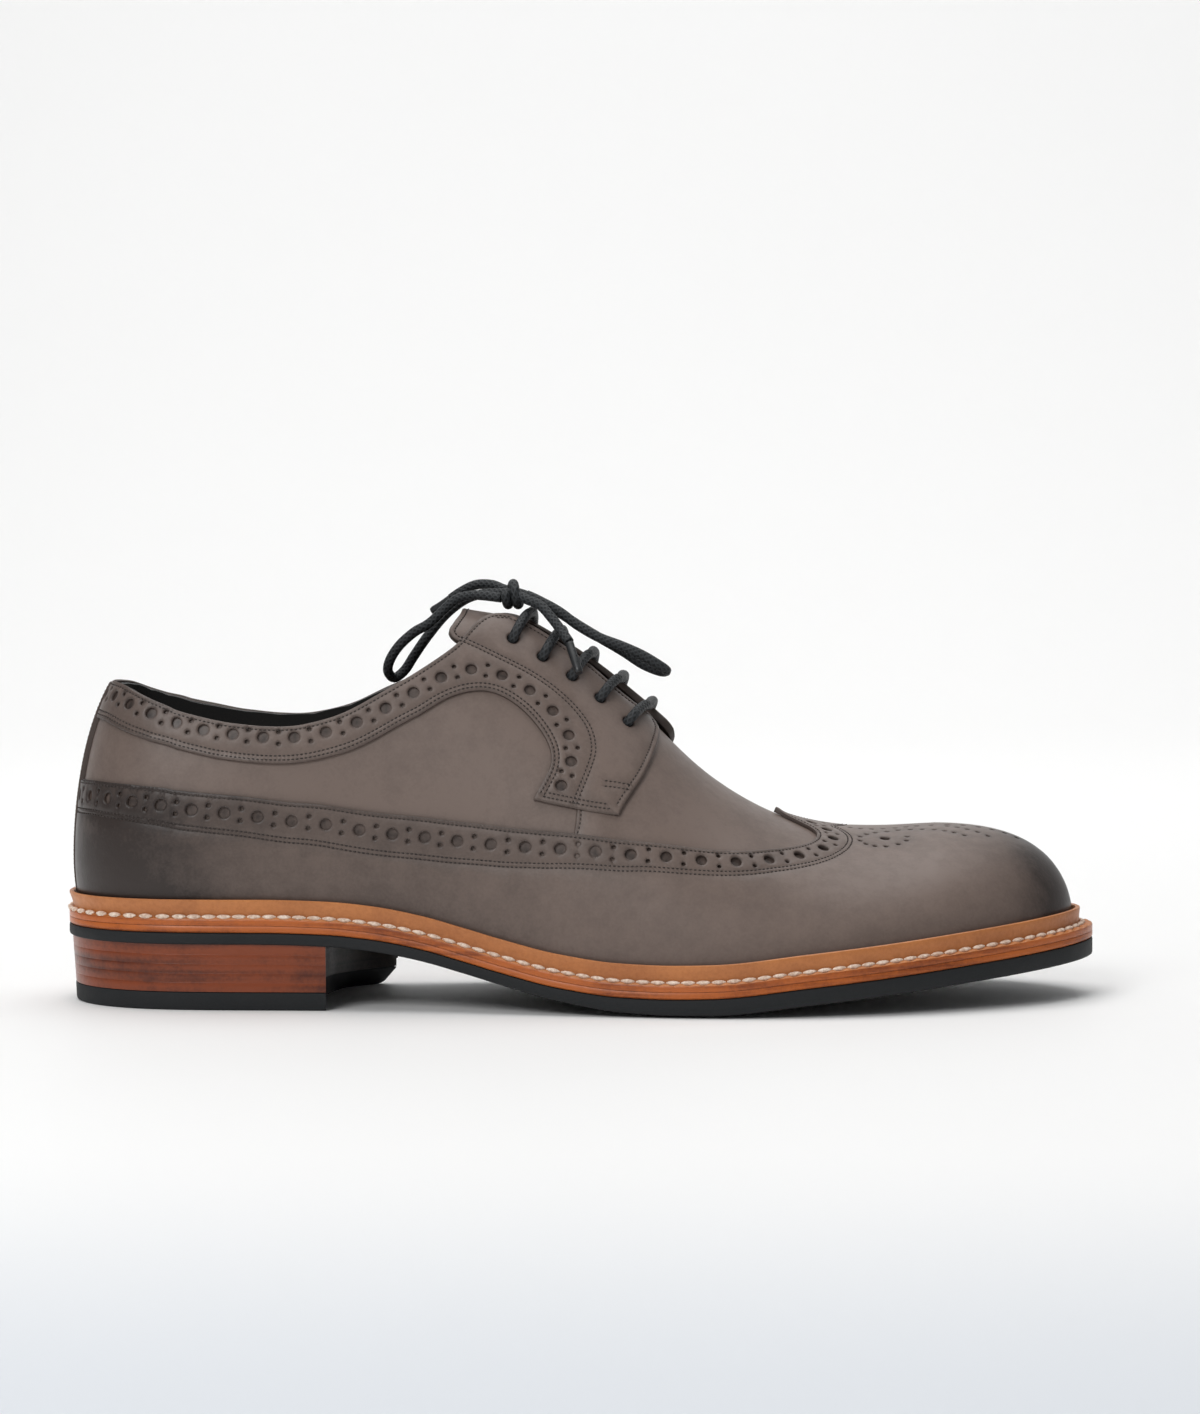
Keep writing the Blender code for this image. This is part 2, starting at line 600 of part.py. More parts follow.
def make_insole(last, leather):
    base = closed_curve([tuple(p) for p in last.outline[::8]], 90)
    edge = base - outward(base) * (WALL_INSIDE + GAP + 0.15)
    low = raised(mid_plane, FLOOR_OF_UPPER)
    top = raised(mid_plane, FLOOR_OF_UPPER + INSOLE_THICK)
    return make_plate("insole", [(edge, top), (edge, low)], top, low, leather, 14.0)


def make_welt(last, leather):
    """Ring with an upright lip that hugs the upper."""
    base = closed_curve([tuple(p) for p in last.outline[::8]], 84)
    normal = outward(base)
    edge = smooth_curve(OVERHANG, 1, base[:, 0]) + LAYER
    ribs = np.linalg.norm(base[:, None] - last.feather[None], axis=2).argmin(axis=1)
    wall = LAYER + GAP + 0.15

    def from_edge(inset, height):
        return edge - inset, height

    def from_upper(stand, height):
        return surface_reach(last, ribs, mid_plane(base[:, 0]) + height) + wall + stand, height
    tip = WELT_TOP + LIP_RISE
    profile = (
        from_edge(0.35, WELT_LOW),
        from_edge(0.0, WELT_LOW + 0.35),
        from_edge(0.0, WELT_TOP - 0.35),
        from_edge(0.4, WELT_TOP),
        from_upper(2.3, WELT_TOP - 0.1),
        from_upper(1.9, WELT_TOP + 1.0),
        from_upper(2.0, tip - 0.5),
        from_upper(1.5, tip),
        from_upper(0.8, tip - 0.3),
        from_upper(0.1, WELT_TOP + 2.6),
        from_upper(0.0, WELT_TOP),
        from_upper(0.0, WELT_LOW),
    )
    points, faces = [], []
    count = len(base)
    for out, height in profile:
        plan = base + normal * out[:, None]
        points += [(p[0], p[1], float(mid_plane(p[0])) + height) for p in plan]
    rows = len(profile)
    for k in range(rows):
        for i in range(count):
            j = (i + 1) % count
            n = (k + 1) % rows
            faces.append([k * count + i, k * count + j, n * count + j, n * count + i])
    return add_solid("welt", points, faces, leather)


def surface_reach(last, ribs, height):
    """How far the bare upper stands out from the feather line at a height."""
    found = []
    for rib, z in zip(ribs, height):
        line = last.grid[rib]
        out = (line[:, :2] - last.feather[rib]) @ last.aim[rib]
        k = int(np.argmax(line[:, 2] > z))
        k = max(k, 1)
        t = np.clip((z - line[k - 1, 2]) / (line[k, 2] - line[k - 1, 2]), 0, 1)
        found.append(out[k - 1] + t * (out[k] - out[k - 1]))
    return np.array(found)


def heel_loop(last, inset, back=0.0):
    """Outline of the heel: the sole's edge behind the front face, then along that face."""
    edge = sole_loop(last, inset, 400)
    face = smooth_curve(BREAST, 1, edge[:, 1])
    behind = edge[edge[:, 0] < face]
    order = int(np.argmax(np.linalg.norm(np.diff(behind, axis=0, append=behind[:1]), axis=1)))
    behind = np.roll(behind, -order - 1, 0)
    step = np.linalg.norm(np.diff(behind, axis=0), axis=1)
    run = np.concatenate([[0], np.cumsum(step)])
    at = np.linspace(0, run[-1], 52)
    arc = np.column_stack([np.interp(at, run, behind[:, k]) for k in range(2)])
    ys = np.linspace(arc[-1, 1], arc[0, 1], 14)[1:-1]
    front = np.column_stack([smooth_curve(BREAST, 1, ys), ys])
    loop = np.vstack([arc, front])
    reach = np.clip((loop[:, 1] - 4) / 18, 0, 1) * np.clip((loop[:, 0] + 84) / 14, 0, 1)
    loop[:, 0] -= back * reach
    return loop


def make_heel(last, leather, rubber):
    def under(x, y=0.0):
        return tread(x) + 0.8 - GAP
    base = TOP_PIECE + GAP

    def level(z):
        def height(x, y=0.0):
            return np.full(np.shape(x), z) + 0.0
        return height
    rings = [(heel_loop(last, 0.9), under), (heel_loop(last, 1.0), level(15.6)), (heel_loop(last, 1.9), level(base))]
    make_plate("heel_stack", rings, under, level(base), leather, 11.0)
    rings = [(heel_loop(last, 1.8), level(TOP_PIECE)), (heel_loop(last, 2.1, 4.0), level(0.5)),
             (heel_loop(last, 2.5, 4.4), level(0.0))]
    make_plate("top_piece", rings, level(TOP_PIECE), level(0.0), rubber, 13.0)


def add_cord(name, path, thickness, material):
    """A round cord along points in millimetres, resampled evenly."""
    p = np.array(path, float)
    dense = []
    for i in range(len(p) - 1):
        a, b, c, d = p[max(i - 1, 0)], p[i], p[i + 1], p[min(i + 2, len(p) - 1)]
        for t in np.linspace(0, 1, 12, endpoint=False):
            dense.append(0.5 * (2 * b + (c - a) * t + (2 * a - 5 * b + 4 * c - d) * t * t
                                + (3 * b - a - 3 * c + d) * t ** 3))
    dense = np.array(dense + [p[-1]])
    run = np.concatenate([[0], np.cumsum(np.linalg.norm(np.diff(dense, axis=0), axis=1))])
    count = max(3, min(80, int(run[-1] / (2.0 * thickness)) + 2))
    at = np.linspace(0, run[-1], count)
    even = np.column_stack([np.interp(at, run, dense[:, k]) for k in range(3)])
    line = bpy.data.curves.new(name, "CURVE")
    line.dimensions = "3D"
    line.bevel_depth = thickness / 2 * MM
    line.bevel_resolution = 2
    line.use_fill_caps = True
    track = line.splines.new("POLY")
    track.points.add(count - 1)
    for point, at_mm in zip(track.points, even):
        point.co = (*(at_mm * MM), 1.0)
    item = bpy.data.objects.new(name, line)
    item.data.materials.append(material)
    bpy.context.collection.objects.link(item)
    return item


def bar_path(last, eyelet):
    x, y = eyelet
    far = -y - (9.4 - MEDIAL_EDGE)
    across = np.linspace(y, far, 15)
    middle = (MEDIAL_EDGE - 9.4) / 2
    half = (MEDIAL_EDGE + 9.4) / 2
    t = np.clip(1 - np.abs(across - middle) / half, 0, 1)
    lift = LAYER + GAP + LACE / 2 + 0.8 - 2.6 * t * (2 - t)
    place = on_last(last)
    return place(np.column_stack([np.full(15, x), across]), lift)


# x, y, z along each loose run of the lace
KNOT_AT = (-20.8, -1.5, 121.6)
KNOT_SIZE = (3.2, 4.2, 1.9)
FRONT_LOOP = (
    (-17.0, -2.4, 121.0), (-13.4, -3.4, 119.4), (-7.4, -5.0, 116.2), (-1.6, -6.2, 112.0), (4.8, -7.2, 108.4),
    (11.0, -7.8, 106.1), (17.4, -8.2, 103.3), (22.6, -8.0, 100.2), (24.8, -5.6, 98.4), (22.8, -3.2, 98.2),
    (17.8, -2.6, 100.2), (11.6, -2.0, 104.2), (5.4, -1.4, 107.8), (-1.0, -0.8, 111.6), (-7.2, -0.4, 115.6),
    (-12.6, 0.6, 118.6), (-17.0, 1.4, 120.6),
)
BACK_LOOP = (
    (-24.6, -3.6, 120.2), (-30.0, -2.0, 120.8), (-33.6, -0.6, 120.8), (-38.8, 1.0, 119.2), (-46.0, 2.2, 112.6),
    (-51.0, 3.0, 109.6), (-55.6, 3.8, 105.4), (-58.4, 4.8, 101.0), (-59.0, 6.6, 97.6), (-57.2, 9.4, 95.6),
    (-54.2, 11.6, 97.8), (-51.2, 12.0, 102.4), (-47.0, 11.0, 108.4), (-41.6, 9.2, 114.8), (-35.6, 6.6, 119.4),
    (-29.8, 3.0, 121.2), (-24.6, 0.0, 121.4),
)
FRONT_END = ((-17.0, -6.4, 119.8), (-12.8, -8.8, 118.0), (-9.4, -11.4, 114.4), (-6.6, -14.2, 110.8), (-4.2, -17.0, 107.5))
FRONT_TIP = ((-3.9, -17.6, 106.5), (-2.6, -20.6, 102.6), (-1.2, -23.2, 98.6))
BACK_END = ((-24.2, 4.1, 122.6), (-27.6, 6.0, 123.8), (-32.2, 7.6, 123.8), (-36.4, 9.0, 122.0), (-40.0, 10.2, 119.6))
BACK_TIP = ((-40.4, 10.3, 119.3), (-43.2, 11.2, 117.3), (-46.0, 12.0, 115.6))


def make_laces(last, cord, tip):
    for number, eyelet in enumerate(EYELETS, 1):
        add_cord(f"lace_bar_{number}", bar_path(last, eyelet), LACE, cord)
    knot = bmesh.new()
    bmesh.ops.create_icosphere(knot, subdivisions=2, radius=1.0)
    points = [[c + s * v for c, s, v in zip(KNOT_AT, KNOT_SIZE, vert.co)] for vert in knot.verts]
    faces = [[v.index for v in f.verts] for f in knot.faces]
    knot.free()
    add_solid("lace_knot", points, faces, cord)
    add_cord("lace_loop_front", FRONT_LOOP, LACE, cord)
    add_cord("lace_loop_back", BACK_LOOP, LACE, cord)
    add_cord("lace_end_front", FRONT_END, LACE, cord)
    add_cord("lace_end_back", BACK_END, LACE, cord)
    add_cord("aglet_front", FRONT_TIP, LACE - 0.4, tip)
    add_cord("aglet_back", BACK_TIP, LACE - 0.4, tip)


def main():
    for item in list(bpy.data.objects):
        bpy.data.objects.remove(item, do_unlink=True)
    last = Last()
    upper_leather = colour("taupe upper leather", (0.180, 0.138, 0.115), 0.42)
    tongue_leather = colour("taupe tongue leather", (0.175, 0.135, 0.112), 0.5)
    welt_leather = colour("tan welt leather", (0.55, 0.20, 0.055), 0.5)
    mid_leather = colour("brown midsole leather", (0.36, 0.09, 0.025), 0.5)
    stack_leather = colour("brown stacked leather", (0.26, 0.06, 0.022), 0.45)
    insole_leather = colour("natural insole leather", (0.45, 0.30, 0.18), 0.6)
    rubber = colour("black rubber", (0.02, 0.021, 0.022), 0.6)
    cord = colour("black waxed cord", (0.017, 0.02, 0.023), 0.5)
    tip = colour("black lace tip", (0.015, 0.016, 0.018), 0.3)
    make_outsole(last, rubber)
    make_midsole(last, mid_leather)
    make_welt(last, welt_leather)
    make_heel(last, stack_leather, rubber)
    make_insole(last, insole_leather)
    make_upper(last, upper_leather)
    make_tongue(last, tongue_leather)
    make_laces(last, cord, tip)


main()
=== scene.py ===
"""Longwing brogue derby, right shoe: cut leather, stitching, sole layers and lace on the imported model.

Tables are in millimetres and the meshes in metres. +X points to the toe; the lateral side, which the camera
sees, is at -Y. A leather piece is cut flat, punched, given its seams and edges, and then laid on the last.
Flat pattern coordinates are the distance along the shoe and the distance from the ridge over the last's
surface, negative on the lateral side.
"""
import math

import bmesh
import bpy
import numpy as np
from mathutils import Matrix, Vector
from mathutils.geometry import delaunay_2d_cdt
from mathutils.kdtree import KDTree


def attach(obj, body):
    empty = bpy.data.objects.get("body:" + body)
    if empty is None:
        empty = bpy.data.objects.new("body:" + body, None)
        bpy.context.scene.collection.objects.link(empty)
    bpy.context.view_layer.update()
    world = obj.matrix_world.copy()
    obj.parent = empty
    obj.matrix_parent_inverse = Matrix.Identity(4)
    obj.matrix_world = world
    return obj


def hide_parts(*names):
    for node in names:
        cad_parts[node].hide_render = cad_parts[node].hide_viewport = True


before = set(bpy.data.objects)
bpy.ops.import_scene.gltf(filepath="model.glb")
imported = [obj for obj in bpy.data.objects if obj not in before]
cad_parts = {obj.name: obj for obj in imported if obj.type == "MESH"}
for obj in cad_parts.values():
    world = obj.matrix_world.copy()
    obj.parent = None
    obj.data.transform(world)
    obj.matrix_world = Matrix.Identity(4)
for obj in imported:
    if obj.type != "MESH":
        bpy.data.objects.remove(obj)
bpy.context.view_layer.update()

MM = 0.001
GAP = 0.35
# Feather outline of the upper, plan, clockwise from the heel back along the lateral side
FEATHER = (
    (-150.5, -0.8), (-148.6, -11.3), (-143.0, -20.3), (-134.0, -27.1), (-122.0, -31.0), (-106.0, -32.4),
    (-90.0, -32.8), (-70.0, -33.6), (-50.0, -35.4), (-30.0, -38.4), (-10.0, -42.1), (10.0, -46.0),
    (30.0, -49.0), (48.0, -49.6), (65.0, -48.0), (83.0, -44.0), (100.0, -37.6), (115.0, -30.0),
    (128.0, -21.1), (138.0, -11.4), (144.6, -1.8), (147.8, 7.8), (145.6, 17.8), (139.0, 27.8),
    (128.0, 36.4), (115.0, 42.2), (100.0, 46.4), (83.0, 49.1), (65.0, 49.5), (48.0, 48.1), (30.0, 44.8),
    (10.0, 39.8), (-10.0, 35.0), (-30.0, 31.2), (-50.0, 29.0), (-70.0, 28.2), (-90.0, 28.1), (-106.0, 28.0),
    (-122.0, 26.8), (-134.0, 23.4), (-143.0, 17.4), (-148.6, 9.0),
)
HEEL_X = -120.0
TOE_X = 106.0
# x, plan offset of the ridge, ridge height
RIDGE = (
    (-160.0, -0.8, 111.0), (-120.0, -0.8, 111.0), (-95.0, -0.6, 119.0), (-70.0, 0.0, 125.5), (-50.0, 0.5, 126.0),
    (-34.0, 1.0, 122.8), (-26.0, 1.2, 119.6), (-17.0, 1.4, 115.0), (-1.6, 1.8, 104.7), (10.9, 2.2, 92.8),
    (18.5, 2.5, 85.2), (24.6, 2.7, 78.6), (35.1, 3.1, 68.4), (45.4, 3.7, 61.2), (56.9, 6.0, 54.9),
    (67.2, 8.5, 51.3), (74.7, 11.0, 49.8), (82.6, 13.8, 48.9), (90.4, 15.9, 48.7), (98.0, 17.2, 48.9),
    (106.0, 18.0, 49.4), (160.0, 18.0, 49.4),
)
# x, height of the midsole's underside, outsole thickness
SOLE = (
    (-160.0, 23.0, 4.2), (-95.0, 23.0, 4.2), (-76.0, 22.5, 4.2), (-62.0, 21.2, 4.2), (-47.7, 18.6, 4.2),
    (-35.0, 15.2, 4.2), (-24.0, 12.1, 4.3), (-6.7, 8.0, 4.6), (10.7, 5.8, 5.1), (24.0, 5.4, 5.4),
    (38.0, 5.7, 5.7), (64.0, 8.4, 5.8), (90.8, 11.1, 5.8), (121.0, 14.3, 5.9), (160.0, 18.0, 6.1),
)
# x, plan fullness power, height power, bulge
RIBS = (
    (-150.5, 1.60, 3.60, 0.085), (-120.0, 1.60, 3.40, 0.080), (-90.0, 1.65, 3.20, 0.055), (-60.0, 1.70, 2.70, 0.030),
    (-30.0, 1.72, 2.25, 0.030), (0.0, 1.78, 2.05, 0.035), (25.0, 1.95, 2.00, 0.035), (50.0, 2.00, 2.00, 0.030),
    (80.0, 2.10, 2.10, 0.030), (110.0, 2.35, 2.30, 0.025), (130.0, 2.60, 2.50, 0.020), (147.8, 2.85, 2.60, 0.015),
)
LAYER = 1.5
FLOOR_OF_UPPER = 2.6


def smooth_curve(table, column, x):
    """Value of a table's column at x, by a monotone cubic through its rows."""
    xs = np.array([row[0] for row in table])
    ys = np.array([row[column] for row in table])
    width = np.diff(xs)
    slope = np.diff(ys) / width
    tangent = np.zeros(len(xs))
    inner = slope[:-1] * slope[1:] > 0
    w1 = 2 * width[1:] + width[:-1]
    w2 = width[1:] + 2 * width[:-1]
    with np.errstate(divide="ignore", invalid="ignore"):
        mean = (w1 + w2) / (w1 / slope[:-1] + w2 / slope[1:])
    tangent[1:-1] = np.where(inner, mean, 0.0)
    tangent[0] = slope[0]
    tangent[-1] = slope[-1]
    x = np.clip(np.asarray(x, float), xs[0], xs[-1])
    k = np.clip(np.searchsorted(xs, x, side="right") - 1, 0, len(xs) - 2)
    t = (x - xs[k]) / width[k]
    a = (1 + 2 * t) * (1 - t) ** 2
    b = t * (1 - t) ** 2
    c = t * t * (3 - 2 * t)
    d = t * t * (t - 1)
    return a * ys[k] + b * width[k] * tangent[k] + c * ys[k + 1] + d * width[k] * tangent[k + 1]


def closed_curve(points, count):
    """Evenly spaced points on a rounded closed curve through the given ones."""
    p = np.array(points, float)
    n = len(p)
    dense = []
    for i in range(n):
        a, b, c, d = p[i - 1], p[i], p[(i + 1) % n], p[(i + 2) % n]
        for t in np.linspace(0, 1, 24, endpoint=False):
            dense.append(0.5 * (2 * b + (c - a) * t + (2 * a - 5 * b + 4 * c - d) * t * t
                                + (3 * b - a - 3 * c + d) * t ** 3))
    dense = np.array(dense)
    step = np.linalg.norm(np.roll(dense, -1, 0) - dense, axis=1)
    run = np.concatenate([[0], np.cumsum(step)])
    at = np.linspace(0, run[-1], count, endpoint=False)
    loop = np.vstack([dense, dense[:1]])
    return np.column_stack([np.interp(at, run, loop[:, k]) for k in range(2)])


def outward(loop):
    """Unit plan normals of a loop that runs from the heel back along the lateral side."""
    along = np.roll(loop, -1, 0) - np.roll(loop, 1, 0)
    along /= np.linalg.norm(along, axis=1)[:, None]
    return np.column_stack([along[:, 1], -along[:, 0]])


def blurred(values, sigma, closed=True):
    reach = int(3 * sigma) + 1
    kernel = np.exp(-0.5 * (np.arange(-reach, reach + 1) / sigma) ** 2)
    kernel /= kernel.sum()
    mode = "wrap" if closed else "edge"
    return np.convolve(np.pad(values, reach, mode=mode), kernel, "valid")


def reach_to(edge, centres, aims):
    """How far a closed outline lies from each centre, in the direction of its aim."""
    found = []
    for c, a in zip(centres, aims):
        p = edge - c
        side = p[:, 0] * a[1] - p[:, 1] * a[0]
        ahead = p[:, 0] * a[0] + p[:, 1] * a[1]
        nxt = np.roll(side, -1)
        i = np.nonzero((side * nxt <= 0) & (ahead > 0))[0]
        t = side[i] / (side[i] - nxt[i] + 1e-12)
        found.append(float((ahead[i] + t * (np.roll(ahead, -1)[i] - ahead[i])).max()))
    return np.array(found)


# ribs in a quarter of a fan, ribs along one side, rows up a rib
FAN = 60
MID = 240
RISE = 96


class Last:
    """Ribs from the feather line up to the ridge: fans round heel and toe, straight across between."""

    def __init__(self):
        outline = closed_curve(FEATHER, 1440)
        outline = np.column_stack([blurred(outline[:, 0], 6), blurred(outline[:, 1], 6)])
        outline = outline - LAYER * outward(outline)
        self.outline = outline
        turn = np.linspace(0, math.pi / 2, FAN, endpoint=False)
        span = np.linspace(0, 1, MID, endpoint=False)
        centre, aim = [], []
        heel_y = float(smooth_curve(RIDGE, 1, HEEL_X))
        toe_y = float(smooth_curve(RIDGE, 1, TOE_X))
        middle = HEEL_X + (TOE_X - HEEL_X) * span
        ridge = smooth_curve(RIDGE, 1, middle)
        back = TOE_X + (HEEL_X - TOE_X) * span
        ridge_back = smooth_curve(RIDGE, 1, back)
        for t in turn:
            centre.append((HEEL_X, heel_y))
            aim.append((-math.cos(t), -math.sin(t)))
        for x, y in zip(middle, ridge):
            centre.append((x, y))
            aim.append((0.0, -1.0))
        for t in turn:
            centre.append((TOE_X, toe_y))
            aim.append((math.sin(t), -math.cos(t)))
        for t in turn:
            centre.append((TOE_X, toe_y))
            aim.append((math.cos(t), math.sin(t)))
        for x, y in zip(back, ridge_back):
            centre.append((x, y))
            aim.append((0.0, 1.0))
        for t in turn:
            centre.append((HEEL_X, heel_y))
            aim.append((-math.sin(t), math.cos(t)))
        self.centre = np.array(centre)
        self.aim = np.array(aim)
        self.count = len(centre)
        self.radius = reach_to(outline, self.centre, self.aim)
        feather = self.centre + self.aim * self.radius[:, None]
        self.feather = feather
        fx = feather[:, 0]
        low = smooth_curve(SOLE, 1, fx) + FLOOR_OF_UPPER
        top = smooth_curve(RIDGE, 2, self.centre[:, 0])
        full = blurred(smooth_curve(RIBS, 1, fx), 8)
        rise = blurred(smooth_curve(RIBS, 2, fx), 8)
        bulge = blurred(smooth_curve(RIBS, 3, fx), 8)
        low = blurred(low, 5)
        top = blurred(top, 5)
        angle = np.linspace(0, 1, 400) ** 1.5 * math.pi / 2
        s = np.sin(angle)[None] ** (2 / rise[:, None])
        c = np.clip(np.cos(angle), 0, 1)[None] ** (2 / full[:, None])
        swell = 1 + bulge[:, None] * (s / 0.23) * np.exp(1 - s / 0.23)
        out = self.radius[:, None] * c * swell
        z = low[:, None] + (top - low)[:, None] * s
        grid = np.stack([self.centre[:, 0, None] + self.aim[:, 0, None] * out,
                         self.centre[:, 1, None] + self.aim[:, 1, None] * out, z], axis=2)
        step = np.linalg.norm(np.diff(grid, axis=1), axis=2)
        run = np.concatenate([np.zeros((self.count, 1)), np.cumsum(step, axis=1)], axis=1)
        self.length = run[:, -1]
        self.grid = np.empty((self.count, RISE + 1, 3))
        for i in range(self.count):
            at = np.linspace(0, run[i, -1], RISE + 1)
            for k in range(3):
                self.grid[i, :, k] = np.interp(at, run[i], grid[i, :, k])
        around = np.roll(self.grid, -1, 0) - np.roll(self.grid, 1, 0)
        up = np.gradient(self.grid, axis=1)
        normal = np.cross(around, up)
        size = np.linalg.norm(normal, axis=2, keepdims=True)
        normal = normal / np.maximum(size, 1e-9)
        normal[:, -1] = normal[:, -2]
        for i in range(self.count):
            k = self._other(i)
            both = normal[i, -2] + normal[k, -2]
            normal[i, -1] = both / np.linalg.norm(both)
        heel = np.r_[0:FAN, self.count - FAN:self.count]
        toe = np.arange(FAN + MID, 3 * FAN + MID)
        for part in (heel, toe):
            mean = normal[part, -1].mean(axis=0)
            normal[part, -1] = mean / np.linalg.norm(mean)
        self.normal = normal

    def _other(self, i):
        return (self.count - i) % self.count

    def sample(self, rib, rise, lift=0.0):
        """Points at rib number (0..count, cyclic) and rise (0 feather, 1 ridge), lifted along the normal."""
        rib = np.asarray(rib, float) % self.count
        row = np.clip(np.asarray(rise, float), 0, 1) * RISE
        i = np.floor(rib).astype(int) % self.count
        j = np.minimum(np.floor(row).astype(int), RISE - 1)
        a = (rib - np.floor(rib))[..., None]
        b = (row - j)[..., None]
        k = (i + 1) % self.count

        def mix(g):
            return ((g[i, j] * (1 - a) + g[k, j] * a) * (1 - b)
                    + (g[i, j + 1] * (1 - a) + g[k, j + 1] * a) * b)
        n = mix(self.normal)
        n = n / np.linalg.norm(n, axis=-1, keepdims=True)
        return mix(self.grid) + n * np.asarray(lift, float)[..., None]

    def flat(self, rib, rise):
        """Pattern coordinates: the upper laid out flat, ridge on the axis."""
        rib = np.asarray(rib, float) % self.count
        size = np.interp(rib, np.arange(self.count + 1), np.append(self.length, self.length[0]))
        r = size * (1 - np.asarray(rise, float))
        cx = np.interp(rib, np.arange(self.count + 1), np.append(self.centre[:, 0], self.centre[0, 0]))
        ax = np.interp(rib, np.arange(self.count + 1), np.append(self.aim[:, 0], self.aim[0, 0]))
        ay = np.interp(rib, np.arange(self.count + 1), np.append(self.aim[:, 1], self.aim[0, 1]))
        h = np.hypot(ax, ay)
        return np.stack([cx + r * ax / h, r * ay / h], axis=-1)

    def rib_of(self, xy):
        """Rib number and rise of a point in pattern coordinates."""
        x, y = np.asarray(xy, float)[..., 0], np.asarray(xy, float)[..., 1]
        lateral = y <= 0
        heel = x < HEEL_X
        toe = x > TOE_X
        quarter = 2 / math.pi * FAN
        turn_h = np.arctan2(np.abs(y), HEEL_X - x)
        turn_t = np.arctan2(np.abs(y), x - TOE_X)
        along = (x - HEEL_X) / (TOE_X - HEEL_X) * MID
        rib = FAN + along
        rib = np.where(heel, turn_h * quarter, rib)
        rib = np.where(toe, 2 * FAN + MID - turn_t * quarter, rib)
        dist = np.where(heel, np.hypot(x - HEEL_X, y), np.where(toe, np.hypot(x - TOE_X, y), np.abs(y)))
        rib = np.where(lateral, rib, self.count - rib) % self.count
        size = np.interp(rib, np.arange(self.count + 1), np.append(self.length, self.length[0]))
        return rib, 1 - dist / size


WALL_INSIDE = 1.3
# Pattern lines of the lateral half, flat pattern coordinates, from the heel back forward
TOPLINE = (
    (-146.6, 0.0), (-145.6, -6.6), (-143.2, -13.0), (-137.3, -22.4), (-130.2, -28.8), (-121.0, -33.4),
    (-112.7, -37.4), (-102.9, -42.9), (-92.9, -47.3), (-82.5, -49.9), (-71.5, -49.0), (-59.8, -43.5),
    (-48.2, -36.8), (-38.5, -28.2), (-33.9, -20.8), (-30.5, -15.4), (-26.8, -11.6), (-22.3, -9.3),
)
FACING_EDGE = ((-15.0, -9.0), (-7.0, -9.4), (2.0, -9.4), (10.0, -9.2), (15.2, -7.4), (18.0, -3.4))
BAND_LOW = (
    (-158.9, 0.0), (-157.8, -10.5), (-153.8, -21.2), (-147.0, -30.4), (-137.6, -38.6), (-126.6, -44.2),
    (-112.4, -50.6), (-97.7, -58.0), (-83.1, -62.4), (-71.3, -62.0), (-59.6, -57.6), (-47.9, -50.6),
    (-39.2, -44.2), (-31.6, -40.2), (-25.4, -38.9), (-18.8, -40.2), (-13.4, -43.6), (-10.0, -48.0),
    (-9.6, -53.0), (-11.4, -58.6), (-14.8, -66.4),
)
# x, flat distance of the vamp's and the toe's middle line from the ridge
TOE_AXIS = (
    (-160.0, 0.0), (50.0, 0.0), (57.0, -1.0), (70.0, -5.0), (80.0, -8.0), (90.0, -10.5),
    (106.0, -12.5), (165.0, -13.5),
)
# how far the facings' edges stand from the ridge, flat
LATERAL_EDGE = 9.4
MEDIAL_EDGE = 6.2
# x, how far the sole's edge stands out from the upper
OVERHANG = (
    (-160.0, 3.9), (-120.0, 4.6), (-90.0, 5.0), (-50.0, 5.2), (0.0, 5.6), (60.0, 5.8), (110.0, 6.0), (160.0, 6.9),
)
WELT_LOW = 2.3
WELT_TOP = 4.3
LIP_RISE = 5.4
INSOLE_THICK = 2.6
TOP_PIECE = 5.3
# y, x of the heel's front face at its top
BREAST = ((-44.0, -74.8), (-34.0, -75.6), (-22.0, -78.0), (-8.0, -79.0), (6.0, -77.0), (16.0, -72.2),
          (24.0, -66.2), (31.0, -58.6), (44.0, -44.0))
# lateral eyelets, flat pattern coordinates
EYELETS = ((-21.3, -18.6), (-12.5, -19.8), (-3.9, -20.6), (4.3, -21.2), (12.5, -21.6))
LACE = 3.0
TONGUE_DIP = 4.2
TONGUE = (
    (-36.0, 0.0), (-37.6, -7.0), (-41.4, -14.0), (-42.4, -18.4), (-38.0, -21.4), (-26.0, -21.0),
    (-8.0, -18.6), (12.0, -16.6), (28.0, -14.0), (36.0, -8.6), (38.0, 0.0),
)


def mirrored(line):
    """The same pattern line on the other half, about the middle line."""
    return [(x, 2 * float(smooth_curve(TOE_AXIS, 1, x)) - y) for x, y in reversed(line)]


def inside(points, loop):
    """Which points lie inside a closed loop."""
    x, y = points[:, 0, None], points[:, 1, None]
    a = np.array(loop, float)
    b = np.roll(a, -1, 0)
    span = (a[:, 1] > y) != (b[:, 1] > y)
    with np.errstate(divide="ignore", invalid="ignore"):
        at = (b[:, 0] - a[:, 0]) * (y - a[:, 1]) / (b[:, 1] - a[:, 1]) + a[:, 0]
    return ((span & (x < at)).sum(axis=1) % 2) == 1


def rows_over(last, spacing):
    """Points spread evenly over the last, in flat pattern coordinates."""
    found = []
    rows = int(98 / spacing)
    for k in range(1, rows + 1):
        rise = (k - 0.5) / rows
        ribs = np.arange(last.count + 1.0)
        path = last.sample(ribs, np.full(len(ribs), rise))
        run = np.concatenate([[0], np.cumsum(np.linalg.norm(np.diff(path, axis=0), axis=1))])
        count = max(3, int(run[-1] / spacing))
        at = (np.arange(count) + 0.5 * (k % 2)) * run[-1] / count
        found.append(last.flat(np.interp(at, run, ribs), np.full(count, rise)))
    return np.vstack(found)


